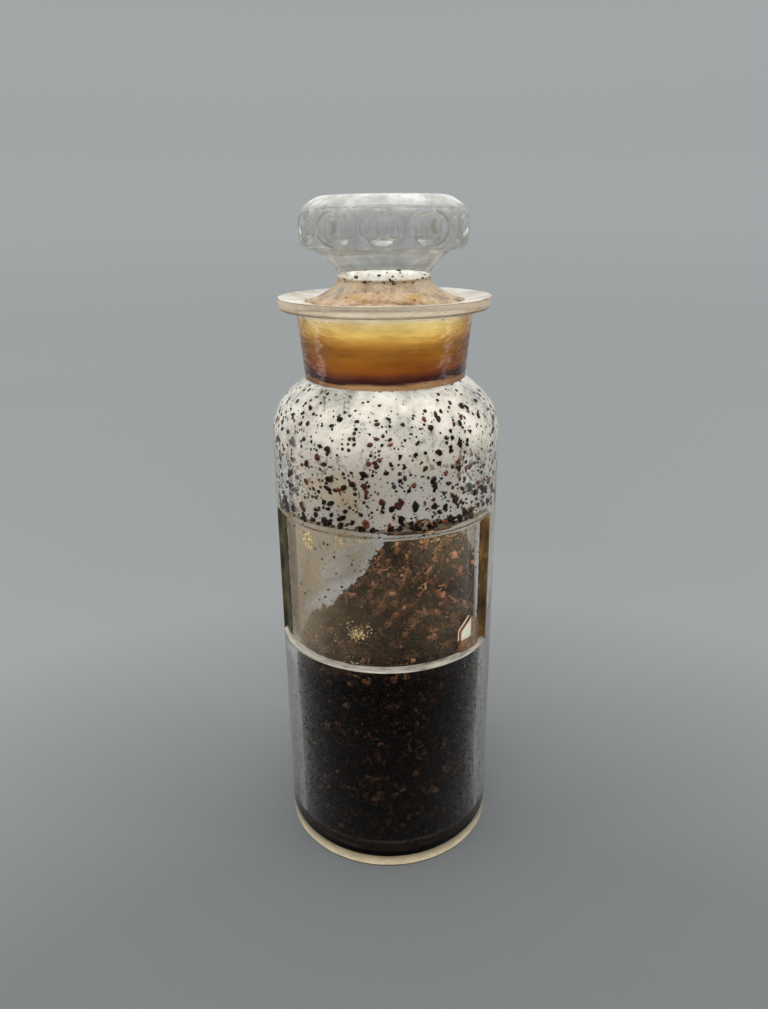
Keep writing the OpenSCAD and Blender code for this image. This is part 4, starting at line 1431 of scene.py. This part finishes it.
bottleGlass = buildBottle()
dress(bottleGlass, [clearGlass, jointAmber, filmHighlightGlass, frostedShadedLedge, footHighlightGlass, residueGlass, contactGlass,
                    stainedLedge, neckGlass, hazyWindow, lipTopGlass, lipEdge],
      bottleBody, "clear_glass", "bottle")
paintFaces(bottleGlass, bottleLooks)
stopperGlass = buildStopper()
dress(stopperGlass, [knobGlass, jointAmber, hollowGlass, knobCapHighlight], stopperBody, "stopper_glass", "stopper")
paintFaces(stopperGlass, stopperLooks)

print("contents")
dress(buildBed(), [bedCrumbs], bottleBody, "dried_crumbs", "contents")
for number, name in enumerate(("sideGrains", "deepGrains")):
    dress(buildSideGrains(name, contents["seed"] + number), [bedCrumbs], bottleBody, "dried_crumbs")
dress(buildTopGrains(), [bedCrumbs], bottleBody, "dried_crumbs", "loose_grains")

print("specks")
dress(buildSpecks(), [darkSpecks], bottleBody, "dark_crumbs", "shoulder_crumbs")
dress(buildShelfCrumbs(), [darkSpecks], bottleBody, "dark_crumbs", "shelf_crumbs")
dress(buildStopperCrumbs(), [darkSpecks], stopperBody, "dark_crumbs", "stopper_crumbs")

print("label remains")
repaint("label_shard", shardMaterial("shardGlass"))
repaint("label_white_field", white)
repaint("label_gold_border", border)
repaint("joint_resin", resin)
# Painted shade on the left strip and painted light on the right one: the same border in two tones
dress(buildBorder("leftStrip"), [shadedBorder], bottleBody, "stained_border", "border_strip_left")
dress(buildBorder("rightStrip"), [litBorder], bottleBody, "stained_border", "border_strip_right")
dress(buildLeaf(), [leaf], bottleBody, "gold_leaf", "gold_flakes")

print("stage and light")
stageSettings = {
    "floor": 900.0,
    "under": -0.05,
    "bend": 350.0,
    "wall": 1000.0,
    "spacing": 30,
    "columns": 96,
    # A painted shadow: a darker pool on the floor in front of the bottle, standing in for light falloff
    "shadowPoolPlace": (0.04, -0.2, 0),  # metres
    "shadowPool": (0.18, 0.38),  # metres, from the pool's dark middle to its edge
    "shadowPoolColour": (0.146, 0.152, 0.151),
    # Painted shade: the floor is darker near the bottle
    "nearShade": (0.255, 0.263, 0.261),
    "nearShadeTo": (0.3, 0.8),  # metres from the bottle, over which the near colour gives way
    # Painted light falloff: the wall is lighter at mid-height and darker towards its top
    "colours": [(0, (0.300, 0.309, 0.306)), (60, (0.297, 0.306, 0.303)), (130, (0.313, 0.322, 0.320)),
                (218, (0.342, 0.352, 0.350)), (500, (0.358, 0.369, 0.366)), (1000, (0.26, 0.268, 0.266))],
}


# A round floor, and a wall that bends up from it on every side. The wall is seen and mirrored, but the
# room's light passes it. Its colour follows the height as painted light falloff, the floor is painted darker
# near the bottle as painted shade, and a painted shadow pool lies on the floor in front.
def buildStage():
    s = stageSettings
    wallRadius = s["floor"] + s["bend"]
    corners = [[0.01, s["under"], 0], [wallRadius, s["under"], s["bend"]], [wallRadius, s["wall"], 0]]
    path = evenly(roundedPath(corners), s["spacing"])
    split = np.searchsorted(path[:, 0], s["floor"])
    azimuth = np.linspace(0, 360, s["columns"], endpoint=False)[None]
    material, output = newMaterial("paleBackdrop")
    shader = addNode(material, "BsdfPrincipled", Roughness=0.9)
    place = addNode(material, "TexCoord")
    distances = []
    for centre in (s["shadowPoolPlace"], (0, 0, 0)):
        away = addNode(material, "VectorMath", operation="DISTANCE")
        link(material, place.outputs["Object"], away.inputs[0])
        away.inputs[1].default_value = centre
        distances.append(away.outputs["Value"])
    pastShadowPool, pastNearShade = distances
    far = addRange(material, pastNearShade, *s["nearShadeTo"], 0.0, 1.0)
    colours = addMix(material, far, s["nearShade"], addHeightRamp(material, s["colours"]))
    outOfShadowPool = addRange(material, pastShadowPool, *s["shadowPool"], 0.0, 1.0)
    colours = addMix(material, outOfShadowPool, s["shadowPoolColour"], colours)
    link(material, colours, shader.inputs["Base Color"])
    link(material, shader.outputs[0], output.inputs["Surface"])
    for name, part in (("floor", path[: split + 1]), ("backdrop", path[split:])):
        points = inSpace(part[:, :1], azimuth, part[:, 1:])
        made = makeObject(name, points.reshape(-1, 3), gridFaces(len(part), s["columns"]).tolist())
        made.data.materials.append(material)
    made.visible_diffuse = False  # the backdrop, made last
    made.visible_shadow = False


buildStage()

# Places and sizes in mm, power in watts. The windows light the glass but make no white bars in it.
lamps = [
    {"name": "overhead", "place": (0, -100, 1350), "size": (1400, 1000), "power": 4.5, "mirrored": True},
    {"name": "front", "place": (-120, -720, 930), "size": (900, 520), "power": 3.6, "mirrored": True},
    {"name": "leftWindow", "place": (-817, -234, 420), "size": (220, 700), "power": 1.5, "mirrored": False},
    {"name": "rightWindow", "place": (817, -234, 420), "size": (220, 700), "power": 1.5, "mirrored": False},
    {"name": "leftTube", "place": (-396, 56, 100), "size": (80, 200), "power": 0.10, "mirrored": True},
    {"name": "rightTube", "place": (400, -7, 100), "size": (80, 200), "power": 0.10, "mirrored": True},
]
aimHeight = 110
room = {"colour": (0.96, 0.98, 1.0), "light": 0.95, "seen": 0.30}


# Soft rectangular lamps that turn with the camera and point at the bottle's middle
def buildLamps():
    for lamp in lamps:
        light = bpy.data.lights.new(lamp["name"], "AREA")
        light.shape = "RECTANGLE"
        light.size, light.size_y = np.array(lamp["size"]) * toMetres
        light.energy = lamp["power"]
        made = bpy.data.objects.new(lamp["name"], light)
        made.visible_glossy = lamp["mirrored"]
        bpy.context.collection.objects.link(made)
        place = Matrix.Rotation(np.radians(view["turn"]), 3, "Z") @ Vector(lamp["place"]) * toMetres
        aim = Vector((0, 0, aimHeight)) * toMetres - place
        made.matrix_world = Matrix.Translation(place) @ aim.to_track_quat("-Z", "Y").to_matrix().to_4x4()


buildLamps()


# The room lights the bottle at one strength and is seen, mirrored and seen through glass at another
def buildRoom():
    world = bpy.data.worlds.new("room")
    world.use_nodes = True
    path = addNode(world, "LightPath")
    seen = addMath(world, "MAXIMUM", path.outputs["Is Camera Ray"], path.outputs["Is Glossy Ray"])
    seen = addMath(world, "MAXIMUM", seen, path.outputs["Is Transmission Ray"])
    background = world.node_tree.nodes["Background"]
    background.inputs["Color"].default_value = (*room["colour"], 1)
    link(world, addRange(world, seen, 0, 1, room["light"], room["seen"]), background.inputs["Strength"])
    bpy.context.scene.world = world


buildRoom()
bpy.context.scene.view_settings.view_transform = "Standard"
bpy.context.scene.cycles.max_bounces = 24
bpy.context.scene.cycles.transmission_bounces = 20
bpy.context.scene.cycles.transparent_max_bounces = 32
